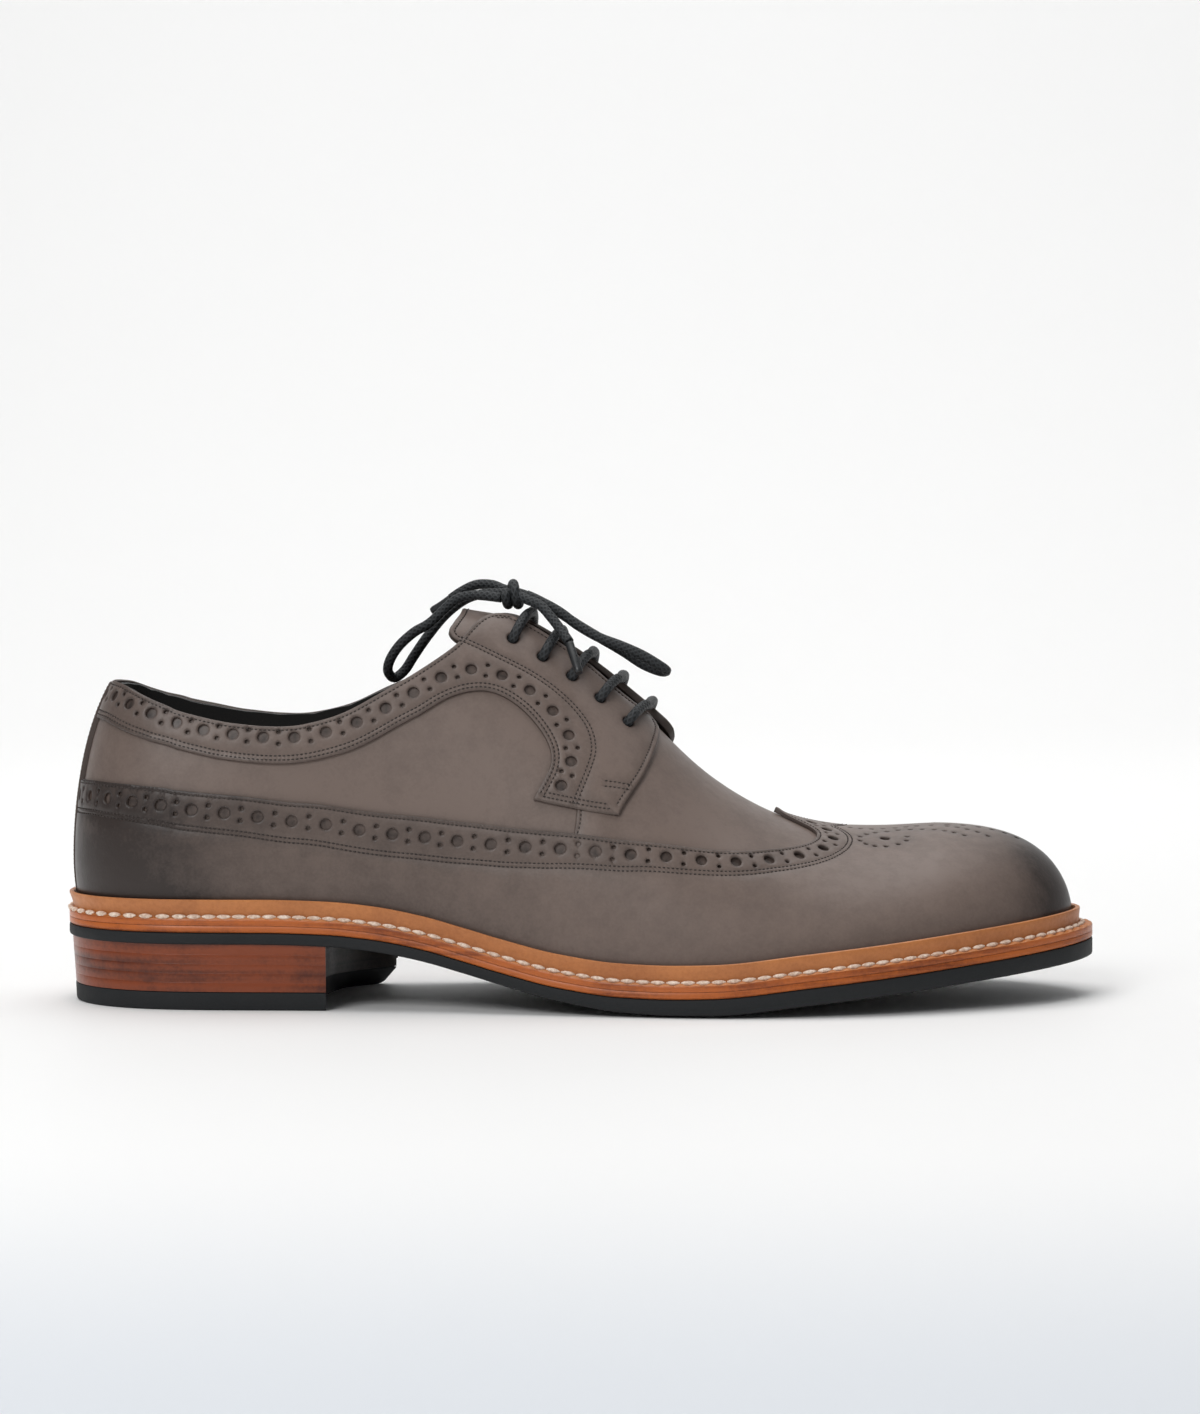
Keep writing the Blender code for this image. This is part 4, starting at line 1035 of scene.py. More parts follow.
def capped_plate(name, rings, finishes, front=None):
    """A plate from rings of equal count, with flat lids; sides past the front mark take the second finish."""
    count = len(rings[0])
    body = bmesh.new()
    number = body.verts.layers.int.new("number")
    ring = bmesh.ops.create_circle(body, cap_ends=False, segments=count, radius=1.0)["verts"]
    for i, v in enumerate(ring):
        v[number] = i
    lids = []
    for k, points in enumerate(rings):
        if k:
            ring = next_ring(body, ring, number)
        for v, at in zip(ring, points):
            v.co = Vector(at) * MM
        if k in (0, len(rings) - 1):
            lids.append(ring_edges(body, ring))
    for edges in lids:
        bmesh.ops.triangle_fill(body, use_beauty=True, use_dissolve=False, edges=edges)
    bmesh.ops.recalc_face_normals(body, faces=body.faces)
    for face in body.faces:
        marks = [v[number] for v in face.verts]
        face.material_index = int(front is not None and all(m >= front - 1 or m == 0 for m in marks))
    return as_object(name, finished_mesh(name, body, SOLE_CREASE), finishes)


# ---------------------------------------------------------------- the pattern

# Upper edge of the wing, lateral half, from the heel back forward to its peak
WING_EDGE = (
    (-177.2, 0.0), (-176.8, -7.0), (-173.7, -18.6), (-169.9, -26.8), (-166.0, -32.8), (-161.8, -38.0),
    (-157.0, -42.7), (-151.8, -46.7), (-145.9, -50.3), (-140.1, -53.1), (-134.2, -55.2), (-128.4, -56.7),
    (-122.6, -57.9), (-118.4, -58.9), (-112.5, -60.8), (-106.7, -63.3), (-99.1, -66.8), (-88.8, -71.4),
    (-83.0, -73.6), (-68.2, -78.0), (-53.5, -80.4), (-39.1, -80.8), (-24.1, -78.3), (-13.4, -74.8),
    (-6.0, -71.6), (2.0, -67.6), (10.7, -62.6), (17.9, -57.8), (25.1, -52.9), (30.9, -49.2), (37.2, -45.5),
    (44.1, -41.7), (49.4, -38.7), (54.5, -35.8), (59.7, -32.6), (64.6, -28.9), (67.5, -25.6), (69.2, -21.5),
    (69.4, -17.4), (67.9, -13.2), (65.0, -9.2), (61.4, -5.2), (57.0, -1.0),
)
# run along that edge, distance of the strip's double row below it
STRIP = (
    (0, 9.3), (20, 9.3), (31, 9.8), (41, 10.2), (50, 10.6), (69, 10.9), (99, 11.4), (113, 11.6), (129, 11.4),
    (145, 10.7), (159, 9.9), (172, 8.9), (185, 8.1), (199, 7.8), (212, 7.8), (222, 8.1), (230, 8.7), (238, 9.4),
    (244, 10.0), (250, 10.4), (262, 10.6), (300, 10.6),
)
WING_HOLES = (
    (-176.4, -12.0), (-171.7, -32.3), (-160.3, -45.9), (-146.0, -54.5), (-129.0, -60.3), (-114.6, -64.6),
    (-105.2, -68.7), (-95.9, -73.0), (-85.0, -77.4), (-75.6, -80.4), (-65.3, -82.9), (-55.3, -84.5),
    (-46.4, -85.3), (-36.7, -84.9), (-27.0, -83.3), (-16.5, -80.5), (-6.6, -76.8), (3.9, -71.6), (13.7, -65.8),
    (24.0, -58.7), (34.1, -51.9), (44.3, -46.0), (54.7, -40.8), (63.2, -36.1), (71.0, -29.0), (74.7, -20.0),
    (73.4, -11.5), (69.6, -5.4),
)
BAND_HOLES = (
    (-150.4, -6.0), (-146.7, -15.4), (-140.0, -26.0), (-130.7, -33.6), (-120.6, -38.2), (-111.6, -42.6),
    (-103.0, -47.0), (-94.2, -51.0), (-84.8, -53.9), (-75.7, -54.6), (-66.7, -52.7), (-58.2, -48.9),
    (-50.0, -44.2), (-41.9, -38.7), (-33.0, -34.0), (-24.2, -32.5), (-15.9, -33.4), (-8.9, -36.4),
    (-4.2, -41.6), (-3.7, -49.2), (-6.5, -57.9),
)
FACING_SEAM = (
    (-36.9, -25.0), (-26.4, -26.7), (-13.1, -27.9), (-4.3, -30.4), (1.2, -34.4), (2.8, -40.4), (1.6, -47.0),
    (-0.4, -54.0), (-2.6, -61.4),
)
TACK = ((5.9, -49.0), (9.6, -46.6), (13.4, -44.3))
BIG_HOLE = 1.65
SMALL_HOLE = 0.62
PAIR = 1.75
QUARTER_TOP = 0.3
WING_UNDERLAP = 12.0
MEDIAL_AHEAD = 5.0
# collar's edge at the back seam, and the wing's peak
COLLAR_BACK = (-146.6, -0.15)
PEAK = (57.0, -1.0)
# thread stitch on the upper, and its spacing; stitch on the welt
STITCH = (0.98, 0.52, 0.36)
PITCH = 1.3
WELT_STITCH = (4.4, 1.9, 1.6)
# edges sharper than this stay crisp on sole layers and on leather, degrees
SOLE_CREASE = 38
LEATHER_CREASE = 62


def half(points, side):
    """A lateral pattern line, or its mirror on the medial half, run the same way."""
    return list(points) if side < 0 else mirrored(points)[::-1]


def corner_join(*lines):
    """Rounded lines joined at their corners."""
    out = [rounded(lines[0])]
    for line in lines[1:]:
        more = rounded(line) if len(line) > 2 else np.array(line, float)
        gap = np.linalg.norm(out[-1][-1] - more[0])
        out.append(more[1:] if gap < 0.01 else more)
    return np.vstack(out)


def run_of(last, line):
    """Length along the leather up to each point of a pattern line."""
    return np.concatenate([[0], np.cumsum(np.linalg.norm(np.diff(lay(last, line), axis=0), axis=1))])


def strip_line(last, side, share):
    """A line of the wing's strip: its upper edge at share 0, its double row at share 1."""
    edge = evenly(last, rounded(WING_EDGE), 1.0)
    width = np.interp(run_of(last, edge), [row[0] for row in STRIP], [row[1] for row in STRIP])
    line = beside(last, edge, -width * share)
    line = line[line[:, 1] < smooth_curve(TOE_AXIS, 1, line[:, 0]) + 0.1]
    return np.array(half([tuple(p) for p in line], side))


def punch_row(last, line, marks):
    """Large holes where the marks fall on a line, with a small pair between each two."""
    dense = evenly(last, line, 0.5)
    run = run_of(last, dense)
    spots = lay(last, dense)
    where = np.array([run[int(np.argmin(np.linalg.norm(spots - mark, axis=1)))] for mark in lay(last, marks)])
    where = np.sort(where)
    for _ in range(3):
        where[1:-1] = 0.25 * where[:-2] + 0.5 * where[1:-1] + 0.25 * where[2:]

    def at(place, aside=0.0):
        near = np.array([[np.interp(place + d, run, dense[:, k]) for k in range(2)] for d in (-0.5, 0, 0.5)])
        return tuple((beside(last, near, aside) if aside else near)[1])
    holes = []
    for number, place in enumerate(where):
        holes.append((at(place), BIG_HOLE, 14))
        if number + 1 < len(where):
            middle = (place + where[number + 1]) / 2
            holes += [(at(middle, PAIR), SMALL_HOLE, 8), (at(middle, -PAIR), SMALL_HOLE, 8)]
    return holes


def ahead(points):
    """The medial facing sits further forward than the lateral one."""
    points = np.array(points, float)
    x = points[:, 0]
    points[:, 0] = x + 4.0 * smoothly(x, -50, -5) * (1 - smoothly(x, 24, 60))
    return points


# Punched ornament of the toe, lateral half: a curl round one large hole, and three sprays towards the tip
CURL_CENTRE = (90.3, -21.2)
CURL = (
    (82.6, -23.0), (82.9, -19.2), (85.0, -16.4), (87.8, -14.6), (91.5, -13.6), (97.2, -20.6), (96.7, -24.2),
    (94.0, -26.9), (90.2, -28.2), (86.8, -27.6), (84.2, -25.8),
)
SPRAYS = (
    ((95.0, -12.0), (98.8, -12.0), (102.3, -12.7), (105.9, -14.0), (108.8, -15.6), (111.6, -17.2), (114.5, -19.1)),
    ((110.2, -8.4), (113.0, -9.9), (115.9, -12.0), (118.8, -14.1), (121.7, -16.4)),
    ((101.2, -6.1), (105.6, -6.0), (110.4, -5.2), (115.2, -5.4), (119.7, -6.3), (123.6, -7.4), (127.4, -8.4),
     (131.0, -9.8)),
    ((80.4, -6.9), (83.6, -8.2), (87.0, -8.8), (90.6, -8.6), (94.4, -7.8), (97.8, -6.8)),
)


def medallion():
    holes = []
    for side in (1, -1):
        def place(point):
            return point if side > 0 else (point[0], 2.0 - point[1])
        holes.append((place(CURL_CENTRE), 1.5, 12))
        for row in (CURL,) + SPRAYS:
            holes += [(place(point), 0.66, 8) for point in row]
    return holes


def smoothly(value, low, high):
    t = np.clip((np.asarray(value, float) - low) / (high - low), 0, 1)
    return t * t * (3 - 2 * t)


def burnish_and_welt_darkening(base):
    """Where the leather was darkened by hand: the toe's front and the heel's sides; the upper also gets darker
    towards the welt.
    """
    x, z = base[:, 0], base[:, 2]
    over_sole = z - mid_plane(x)
    toe = smoothly(x, 105, 130) * 0.24 + smoothly(x + 0.22 * over_sole, 129, 144) * 0.66
    heel = smoothly(x, -84, -136) * (0.30 + 0.42 * smoothly(over_sole, 46, 18))
    # darker towards the welt along the bottom of the upper
    foot = 0.12 * smoothly(over_sole, 18, 9)
    return toe + heel + foot


def edge_dye_and_shade(rim):
    """A cut edge takes more dye; the darker line along each edge and round each hole is also painted shade."""
    # partly dye, partly painted shade along edges and round holes
    return 0.42 * np.exp(-(rim / 0.75) ** 2)


def wing_tone(flat, base, rim):
    strip = smoothly(base[:, 0], 40, -70)
    return 0.08 + 0.26 * strip + burnish_and_welt_darkening(base) + edge_dye_and_shade(rim)


def upper_tone(flat, base, rim):
    return 0.02 + 0.16 * smoothly(base[:, 0], -100, -150) + edge_dye_and_shade(rim)


def painted_hole_shade(last, holes):
    """The leather under a punched strip, with painted shade darkening the bottoms of the large holes."""
    spots = nearest(lay(last, np.array([hole[0] for hole in holes if hole[1] > 1.0])))

    def shade(flat, base, rim):
        # painted shade: the leather is painted darker in the bottoms of the large holes
        return upper_tone(flat, base, rim) + 0.85 * np.exp(-(distances_to(spots, base) / 2.1) ** 4)
    return shade


def band_tone(flat, base, rim):
    return 0.05 + 0.22 * smoothly(base[:, 0], -90, -150) + edge_dye_and_shade(rim)


# ---------------------------------------------------------------- leather pieces

def make_vamp(last, finishes, shade):
    under_facing = [(19.4, 0.0), (18.2, -4.0), (14.5, -9.0), (8.0, -18.0), (2.0, -40.0), (-1.2, -56.0)]
    underlap = [(-3.8, -87.0), (16.0, -73.0), (33.8, -62.0), (45.5, -55.0), (60.0, -47.0), (74.0, -37.0),
                (80.0, -27.0), (81.0, -17.0), (79.0, -8.4)]
    lateral = np.vstack([rounded(under_facing), rounded([(-1.6, -58.0), (-2.2, -66.0), (-3.4, -75.6)]),
                         rounded(underlap)])
    medial = ahead(mirrored([tuple(p) for p in lateral[1:-1]]))
    outline = evenly(last, np.vstack([lateral, medial]), 1.3, closed=True)
    seam = [(-0.3, -57.0), (-0.9, -66.0), (-2.1, -71.0)]
    rows = [rounded(seam), ahead(rounded(half(seam, 1)))]

    def near_seam(flat):
        return smoothly(flat[:, 0] - 4.0 * (flat[:, 1] > 0), 12.0, 4.0)

    def top(flat, base):
        return 0.1 + 0.75 * near_seam(flat)

    def low(flat, base):
        return -0.75 + 1.1 * near_seam(flat)
    piece = sew_piece("vamp", last, Piece(outline, rows=rows), top, low, finishes, tone=shade)
    return piece, rows


def dipped_collar(points):
    """The collar's own edge: it dips deeper below the ankle outside than inside."""
    points = np.array(points, float)
    x, y = points[:, 0], points[:, 1]
    share = smoothly(x, -146, -112) * smoothly(x, -34, -66)
    return np.column_stack([x, y - np.where(y < 0, 0.9, 2.2) * share * (np.abs(y) > 4.0)])


def make_quarter(last, side, finishes, shade):
    name = "quarter_lateral" if side < 0 else "quarter_medial"
    top_edge = [(x - 0.6, y) for x, y in TOPLINE[:3]] + list(TOPLINE[3:])
    edge = np.array(WING_EDGE)
    wing = beside(last, evenly(last, rounded(WING_EDGE[:int((edge[:, 0] < 12).sum())]), 2.0), -WING_UNDERLAP)
    wing = wing[wing[:, 0] < 2.0]
    top_edge = half([COLLAR_BACK] + top_edge[1:], side)
    top_edge = half([tuple(p) for p in dipped_collar(top_edge)], side)
    half_loop = [tuple(p) for p in rounded(top_edge)]
    half_loop += [(-16.0, -11.0), (-4.0, -12.0), (3.0, -20.0), (4.0, -40.0), (4.0, -60.0)]
    half_loop += [tuple(p) for p in wing[::-1]] + [(wing[0, 0] + 0.2, -0.15)]
    loop = np.array(half(half_loop, side))
    if side > 0:
        loop = ahead(loop)
    outline = evenly(last, loop, 1.5, closed=True)
    return sew_piece(name, last, Piece(outline), QUARTER_TOP, -0.75, finishes, tone=shade)


def wing_holes(last):
    holes = []
    for side in (-1, 1):
        marks = np.array(half(WING_HOLES, side))
        holes += punch_row(last, strip_line(last, side, 0.49), marks)
    return apart(last, holes + medallion(), 0.7)


def make_wing(last, finishes, holes):
    feather = last.flat(np.linspace(0, last.count, 560, endpoint=False), np.full(560, 0.004))
    lateral = rounded(WING_EDGE)
    loop = np.vstack([lateral, np.array(mirrored([tuple(p) for p in lateral[1:-1]]))])
    opening_loop = evenly(last, loop, 1.2, closed=True)
    rows = []
    for side in (-1, 1):
        low = evenly(last, strip_line(last, side, 1.0), 1.5)
        rows += [beside(last, low, 0.65), beside(last, low, -0.65)]
        edge = evenly(last, rounded(half(WING_EDGE, side)), 1.5)
        rows.append(beside(last, edge, 1.1 if side > 0 else -1.1)[1:-2])

    def top(flat, base):
        peak = lay(last, np.array([PEAK]))[0]
        return 1.5 + 0.7 * np.exp(-(np.linalg.norm(base - peak, axis=1) / 3.0) ** 2)
    piece = sew_piece("wing", last, Piece(feather, [opening_loop], holes, rows), top, 0.35, finishes,
                      tone=wing_tone)
    return piece, rows


def apart(last, holes, gap):
    """Leaves out holes that would run into an earlier one."""
    kept = []
    places = lay(last, np.array([h[0] for h in holes]))
    for i, hole in enumerate(holes):
        if all(np.linalg.norm(places[i] - places[k]) > hole[1] + holes[k][1] + gap for k in kept):
            kept.append(i)
    return [holes[k] for k in kept]


def facing_edge(side):
    edge = list(FACING_EDGE)
    return edge if side < 0 else [(x, y * MEDIAL_EDGE / LATERAL_EDGE) for x, y in edge]


def band_holes(last, side):
    line = evenly(last, rounded(half(BAND_HOLES, side)), 1.0)
    holes = punch_row(last, line, np.array(half(BAND_HOLES, side)))
    if side > 0:
        moved = ahead([hole[0] for hole in holes])
        holes = [(tuple(at),) + hole[1:] for at, hole in zip(moved, holes)]
    return holes


def make_band(last, side, finishes, holes):
    """Collar band and facing in one closed outline."""
    name = "collar_and_facing_lateral" if side < 0 else "collar_and_facing_medial"
    collar_low = beside(last, evenly(last, rounded(TOPLINE[:-4]), 2.0), -11.85)
    collar_low = [tuple(p) for p in collar_low if p[0] < -47.0 and p[1] < -1.0]
    low = [(-158.9, -0.15)] + collar_low[::2] + list(BAND_LOW[12:])
    bottom = [BAND_LOW[-1], (-8.2, -64.6), (0.1, -61.4), (6.0, -58.2), (10.4, -55.4)]
    front = [(10.4, -55.4), (11.7, -51.4), (14.0, -45.6), (17.4, -36.6), (20.0, -26.6), (21.6, -16.4),
             (21.9, -9.6), (20.8, -5.6)]
    inner = [(20.8, -5.6), (18.6, -4.2), (15.6, -6.8)] + [p for p in reversed(facing_edge(side)[:4])]
    if side > 0:
        inner = [(20.8, -5.6), (18.8, -3.4), (15.6, -4.8)] + [p for p in reversed(facing_edge(side)[:4])]
        collar = [(-22.3, -6.6), (-26.8, -8.8), (-30.5, -12.8), (-33.9, -18.8)]
        collar += [p for p in reversed(TOPLINE[1:-4])] + [COLLAR_BACK]
    else:
        collar = [p for p in reversed(TOPLINE[1:])] + [COLLAR_BACK]
    collar = half([tuple(p) for p in dipped_collar(half(collar, side))], side)

    def fitted(line):
        line = np.array(half([tuple(p) for p in line], side), float)
        return ahead(line) if side > 0 else line
    loop = fitted(corner_join(low, bottom, front, inner + collar))
    outline = evenly(last, loop, 1.2, closed=True)
    turn = 1.0 if side > 0 else -1.0

    def inset(line, depth, cut=slice(None)):
        return beside(last, evenly(last, fitted(rounded(line)), 1.3), turn * depth)[cut]
    rows = [inset(low, -1.1, slice(0, -2)), inset(low, -2.3, slice(0, -2)),
            inset(list(reversed(collar)), 1.15, slice(1, None)),
            inset(inner + collar[:2], -1.9, slice(3, None)), inset(front, -1.9, slice(2, None)),
            inset(bottom, -1.6, slice(2, -2)), inset(bottom, -3.0, slice(3, -3)),
            inset(FACING_SEAM, 0.6), inset(FACING_SEAM, -0.6), inset(TACK, 0.85), inset(TACK, -0.85)]
    lacing = []
    for x, y in EYELETS:
        at = (x, y) if side < 0 else (x + MEDIAL_AHEAD, -y - (LATERAL_EDGE - MEDIAL_EDGE))
        lacing.append((at, 1.75, 14))

    def lipped(flat, lift):
        rise = 0.0
        if side > 0:
            rise = 2.3 * smoothly(flat[:, 0], -12, 18) * smoothly(flat[:, 1], 15, 5) * (0.45 + 0.55 * (lift > 0.9))
        return lay(last, flat, lift + rise)
    piece = sew_piece(name, last, Piece(outline, [], lacing + holes, rows), 1.5, 0.35, finishes, tone=band_tone,
                      shape=lipped)
    return piece, rows, lipped


def make_heel_strip(last, finishes):
    axis = np.column_stack([np.linspace(-147.2, -216.0, 60), np.full(60, -0.001)])
    left, right = beside(last, axis, 2.6), beside(last, axis, -2.6)
    outline = evenly(last, np.vstack([left, right[::-1]]), 1.2, closed=True)
    rows = [beside(last, axis[1:-1], 1.5), beside(last, axis[1:-1], -1.5)]
    piece = sew_piece("heel_strip", last, Piece(outline, rows=rows), 2.05, 0.3, finishes, spacing=2.0,
                      tone=band_tone)
    return piece, rows


def make_lining(last, finishes):
    feather = last.flat(np.linspace(0, last.count, 300, endpoint=False), np.full(300, 0.02))
    mouth = dipped_collar(opening())
    mouth[mouth[:, 1] > 0] = ahead(mouth[mouth[:, 1] > 0])
    mouth = evenly(last, mouth, 1.3, closed=True)
    return sew_piece("lining", last, Piece(feather, [mouth]), -0.8, -1.5, finishes, spacing=3.6, skive=0.0)


def make_tongue(last, finishes):
    top = [(-34.2, 0.0), (-35.2, -7.0), (-37.6, -13.6), (-39.0, -18.0), (-36.4, -21.0)]
    half_loop = rounded(top + list(TONGUE[5:]))
    loop = np.vstack([half_loop, np.array([(x, -y) for x, y in half_loop[-2:0:-1]])])
    outline = evenly(last, loop, 1.2, closed=True)
    inner = beside(last, outline, 1.6, closed=True)
    if not inside(inner[:1], outline)[0]:
        inner = beside(last, outline, -1.6, closed=True)
    row = inner[inner[:, 0] < -24.0]
    start = int(np.argmax(np.linalg.norm(np.diff(row, axis=0, append=row[:1]), axis=1)))
    row = np.roll(row, -start - 1, 0)

    def dipped(flat, lift):
        t = np.clip((-14.0 - flat[:, 0]) / 22.0, 0, 1)
        return lay(last, flat, lift - TONGUE_DIP * t * t * (3 - 2 * t))
    piece = sew_piece("tongue", last, Piece(outline, rows=[row]), -1.85, -3.75, finishes, shape=dipped,
                      tone=upper_tone)
    return piece, row, dipped


# ---------------------------------------------------------------- sole

def make_sole(last, edge_leather, rubber):
    made = {}
    inner = (0.8, 0.6, 0.4, 0.2, 0.0)

    def plate(name, inset, profile, finish, lid=inner):
        """A layer across the whole sole: lid, edge profile of (inset, height), underside."""
        rings = []
        top_inset, top_height = profile[0]
        low_inset, low_height = profile[-1]
        reach = sole_reach(last, inset + top_inset)
        rings += [sole_ring(last, reach, top_height, s) for s in reversed(lid)]
        for more, height in profile:
            rings.append(sole_ring(last, sole_reach(last, inset + more), height))
        reach = sole_reach(last, inset + low_inset)
        rings += [sole_ring(last, reach, low_height, s) for s in lid]
        return layered(name, rings, [finish])
    made["midsole"] = plate("midsole", 0.1, (
        (0.5, raised(mid_plane, 2.14)), (0.05, raised(mid_plane, 2.08)), (-0.08, raised(mid_plane, 1.9)),
        (-0.08, raised(mid_plane, 0.5)), (0.3, raised(mid_plane, 0.12))), edge_leather)
    made["outsole"] = plate("outsole", 0.0, (
        (0.5, raised(mid_plane, 0.02)), (0.1, raised(mid_plane, -0.25)), (0.0, raised(mid_plane, -0.8)),
        (0.0, raised(tread, 1.6)), (0.15, raised(tread, 1.1)), (0.6, raised(tread, 0.8))), rubber)
    return made


def make_welt(last, tan, edge_leather):
    """Flat stitched edge with a lip that stands up against the upper."""
    stitches = 150
    per = 6
    count = stitches * per
    ribs = evenly_round(last, count)

    def at_ribs(values):
        return np.interp(ribs, np.arange(last.count + 1), np.append(values, values[0]))
    base_reach = at_ribs(sole_reach(last, 0.0))
    centre = np.column_stack([at_ribs(last.centre[:, k]) for k in range(2)])
    aim = np.column_stack([at_ribs(last.aim[:, k]) for k in range(2)])
    feather = centre + aim * at_ribs(last.radius)[:, None]
    edge = centre + aim * base_reach[:, None]
    whole = np.round(ribs).astype(int) % last.count
    wave = np.cos(2 * math.pi * np.arange(count) / per)

    def from_edge(inset, height):
        plan = edge - aim * inset
        return plan, height

    def from_upper(stand, height):
        out = surface_reach(last, whole, mid_plane(feather[:, 0]) + height) + LAYER + GAP + 0.1 + stand
        return feather + aim * out[:, None], height
    tip = WELT_TOP + LIP_RISE
    profile = [
        (from_edge(0.2, WELT_LOW - 0.16), 0, 0.0), (from_edge(0.02, WELT_LOW - 0.08), 0, 0.0),
        (from_edge(0.0, WELT_TOP - 0.7), 0, 0.0), (from_edge(0.12, WELT_TOP - 0.3), 0, 0.0),
        (from_edge(0.45, WELT_TOP - 0.05), 1, 0.06), (from_edge(1.1, WELT_TOP + 0.02), 1, 0.16),
        (from_upper(3.4, WELT_TOP - 0.05), 1, 0.12), (from_upper(2.5, WELT_TOP - 0.6), 1, 0.0),
        (from_upper(1.9, WELT_TOP + 0.1), 1, 0.0), (from_upper(1.65, WELT_TOP + 1.2), 1, 0.0),
        (from_upper(1.7, WELT_TOP + 3.0), 1, 0.0), (from_upper(2.05, tip - 0.7), 1, 0.0),
        (from_upper(1.95, tip - 0.25), 1, 0.0), (from_upper(1.5, tip), 1, 0.0),
        (from_upper(0.7, tip - 0.25), 1, 0.0), (from_upper(0.1, WELT_TOP + 2.6), 1, 0.0),
        (from_upper(0.0, WELT_TOP), 1, 0.0), (from_upper(0.0, WELT_LOW - 0.18), 0, 0.0),
    ]
    rings = []
    for (plan, height), _, swell in profile:
        rings.append(np.column_stack([plan, mid_plane(plan[:, 0]) + height + swell * 2.2 * wave]))
    slots = [max(a[1], b[1]) for a, b in zip(profile, profile[1:])] + [0]
    piece = layered("welt", rings, [edge_leather, tan], closed=True, slots=slots)
    seat, _ = from_upper(2.75, WELT_TOP)
    seat = np.column_stack([seat, mid_plane(seat[:, 0]) + WELT_TOP + 0.3])
    return piece, seat[per // 2::per], aim[per // 2::per]


def evenly_round(last, count):
    """Rib numbers evenly spaced along the feather line."""
    line = np.vstack([last.feather, last.feather[:1]])
    run = np.concatenate([[0], np.cumsum(np.linalg.norm(np.diff(line, axis=0), axis=1))])
    return np.interp(np.linspace(0, run[-1], count, endpoint=False), run, np.arange(last.count + 1))


def make_welt_stitches(seat, aim, finish):
    one = bmesh.new()
    bmesh.ops.create_uvsphere(one, u_segments=8, v_segments=6, radius=0.5)
    bmesh.ops.rotate(one, cent=(0, 0, 0), matrix=Matrix.Rotation(math.pi / 2, 3, "Y"), verts=one.verts)
    bmesh.ops.scale(one, vec=WELT_STITCH, verts=one.verts)
    bmesh.ops.triangulate(one, faces=one.faces)
    along = np.roll(seat, -1, 0) - np.roll(seat, 1, 0)
    along /= np.linalg.norm(along, axis=1, keepdims=True)
    out = np.column_stack([aim, np.zeros(len(aim))])
    across = out - along * np.sum(out * along, axis=1, keepdims=True)
    across /= np.linalg.norm(across, axis=1, keepdims=True)
    frames = np.stack([along, across, np.cross(along, across)], axis=1)
    return repeated("welt_stitches", one, seat, frames, finish)


def heel_outline(last, inset, back=0.0):
    """The heel's outline: the sole's edge behind the front face, then along that face."""
    edge = sole_loop(last, inset, 1440)
    face = smooth_curve(BREAST, 1, edge[:, 1])
    behind = edge[edge[:, 0] < face]
    order = int(np.argmax(np.linalg.norm(np.diff(behind, axis=0, append=behind[:1]), axis=1)))
    behind = np.roll(behind, -order - 1, 0)
    step = np.linalg.norm(np.diff(behind, axis=0), axis=1)
    run = np.concatenate([[0], np.cumsum(step)])
    at = np.linspace(0, run[-1], 200)
    arc = np.column_stack([np.interp(at, run, behind[:, k]) for k in range(2)])
    ys = np.linspace(arc[-1, 1], arc[0, 1], 62)[1:-1]
    front = np.column_stack([smooth_curve(BREAST, 1, ys), ys])
    loop = np.vstack([arc, front])
    reach = np.clip((loop[:, 1] - 4) / 18, 0, 1) * np.clip((loop[:, 0] + 84) / 14, 0, 1)
    loop[:, 0] -= back * reach
    return loop


def make_heel(last, stack_leather, rubber):
    base = TOP_PIECE + 0.12
    plan = heel_outline(last, 0.9)
    high = tread(plan[:, 0]) + 0.75
    rings = [np.column_stack([plan, high])]
    lifts = 5
    for k in range(lifts + 1):
        share = k / lifts
        for groove, offset in ((0.0, -0.22), (0.09, 0.0), (0.0, 0.22)):
            if (k == 0 and offset < 0) or (k == lifts and offset > 0):
                continue
            t = np.clip(share + offset / 13.0, 0, 1)
            plan = heel_outline(last, 0.95 + 0.95 * t + (groove if 0 < k < lifts else 0.0))
            top = tread(plan[:, 0]) + 0.55
            rings.append(np.column_stack([plan, top + (base + 0.05 - top) * t]))
    stack = capped_plate("heel_stack", rings, stack_leather, front=200)
    rings = []
    for inset, back, z in ((2.2, 0.0, TOP_PIECE + 0.1), (1.85, 0.0, TOP_PIECE - 0.15), (1.8, 0.3, TOP_PIECE - 0.6),
                           (2.0, 3.6, 0.9), (2.15, 4.1, 0.3), (2.6, 4.6, 0.0)):
        plan = heel_outline(last, inset, back)
        rings.append(np.column_stack([plan, np.full(len(plan), z)]))
    piece = capped_plate("top_piece", rings, [rubber])
    return stack, piece


def make_sock(last, finish):
    """Leather insole with its sock, seen through the collar."""
    reach = last.radius - (WALL_INSIDE + GAP + 0.15)
    lid = (0.0, 0.2, 0.4, 0.6, 0.8)
    rings = [sole_ring(last, reach, raised(mid_plane, FLOOR_OF_UPPER + INSOLE_THICK), s) for s in lid]
    rings += [sole_ring(last, reach, raised(mid_plane, FLOOR_OF_UPPER + INSOLE_THICK - 0.02)),
              sole_ring(last, reach, raised(mid_plane, FLOOR_OF_UPPER + 0.05))]
    rings += [sole_ring(last, reach, raised(mid_plane, FLOOR_OF_UPPER + 0.05), s) for s in reversed(lid)]
    return layered("insole", rings, [finish])


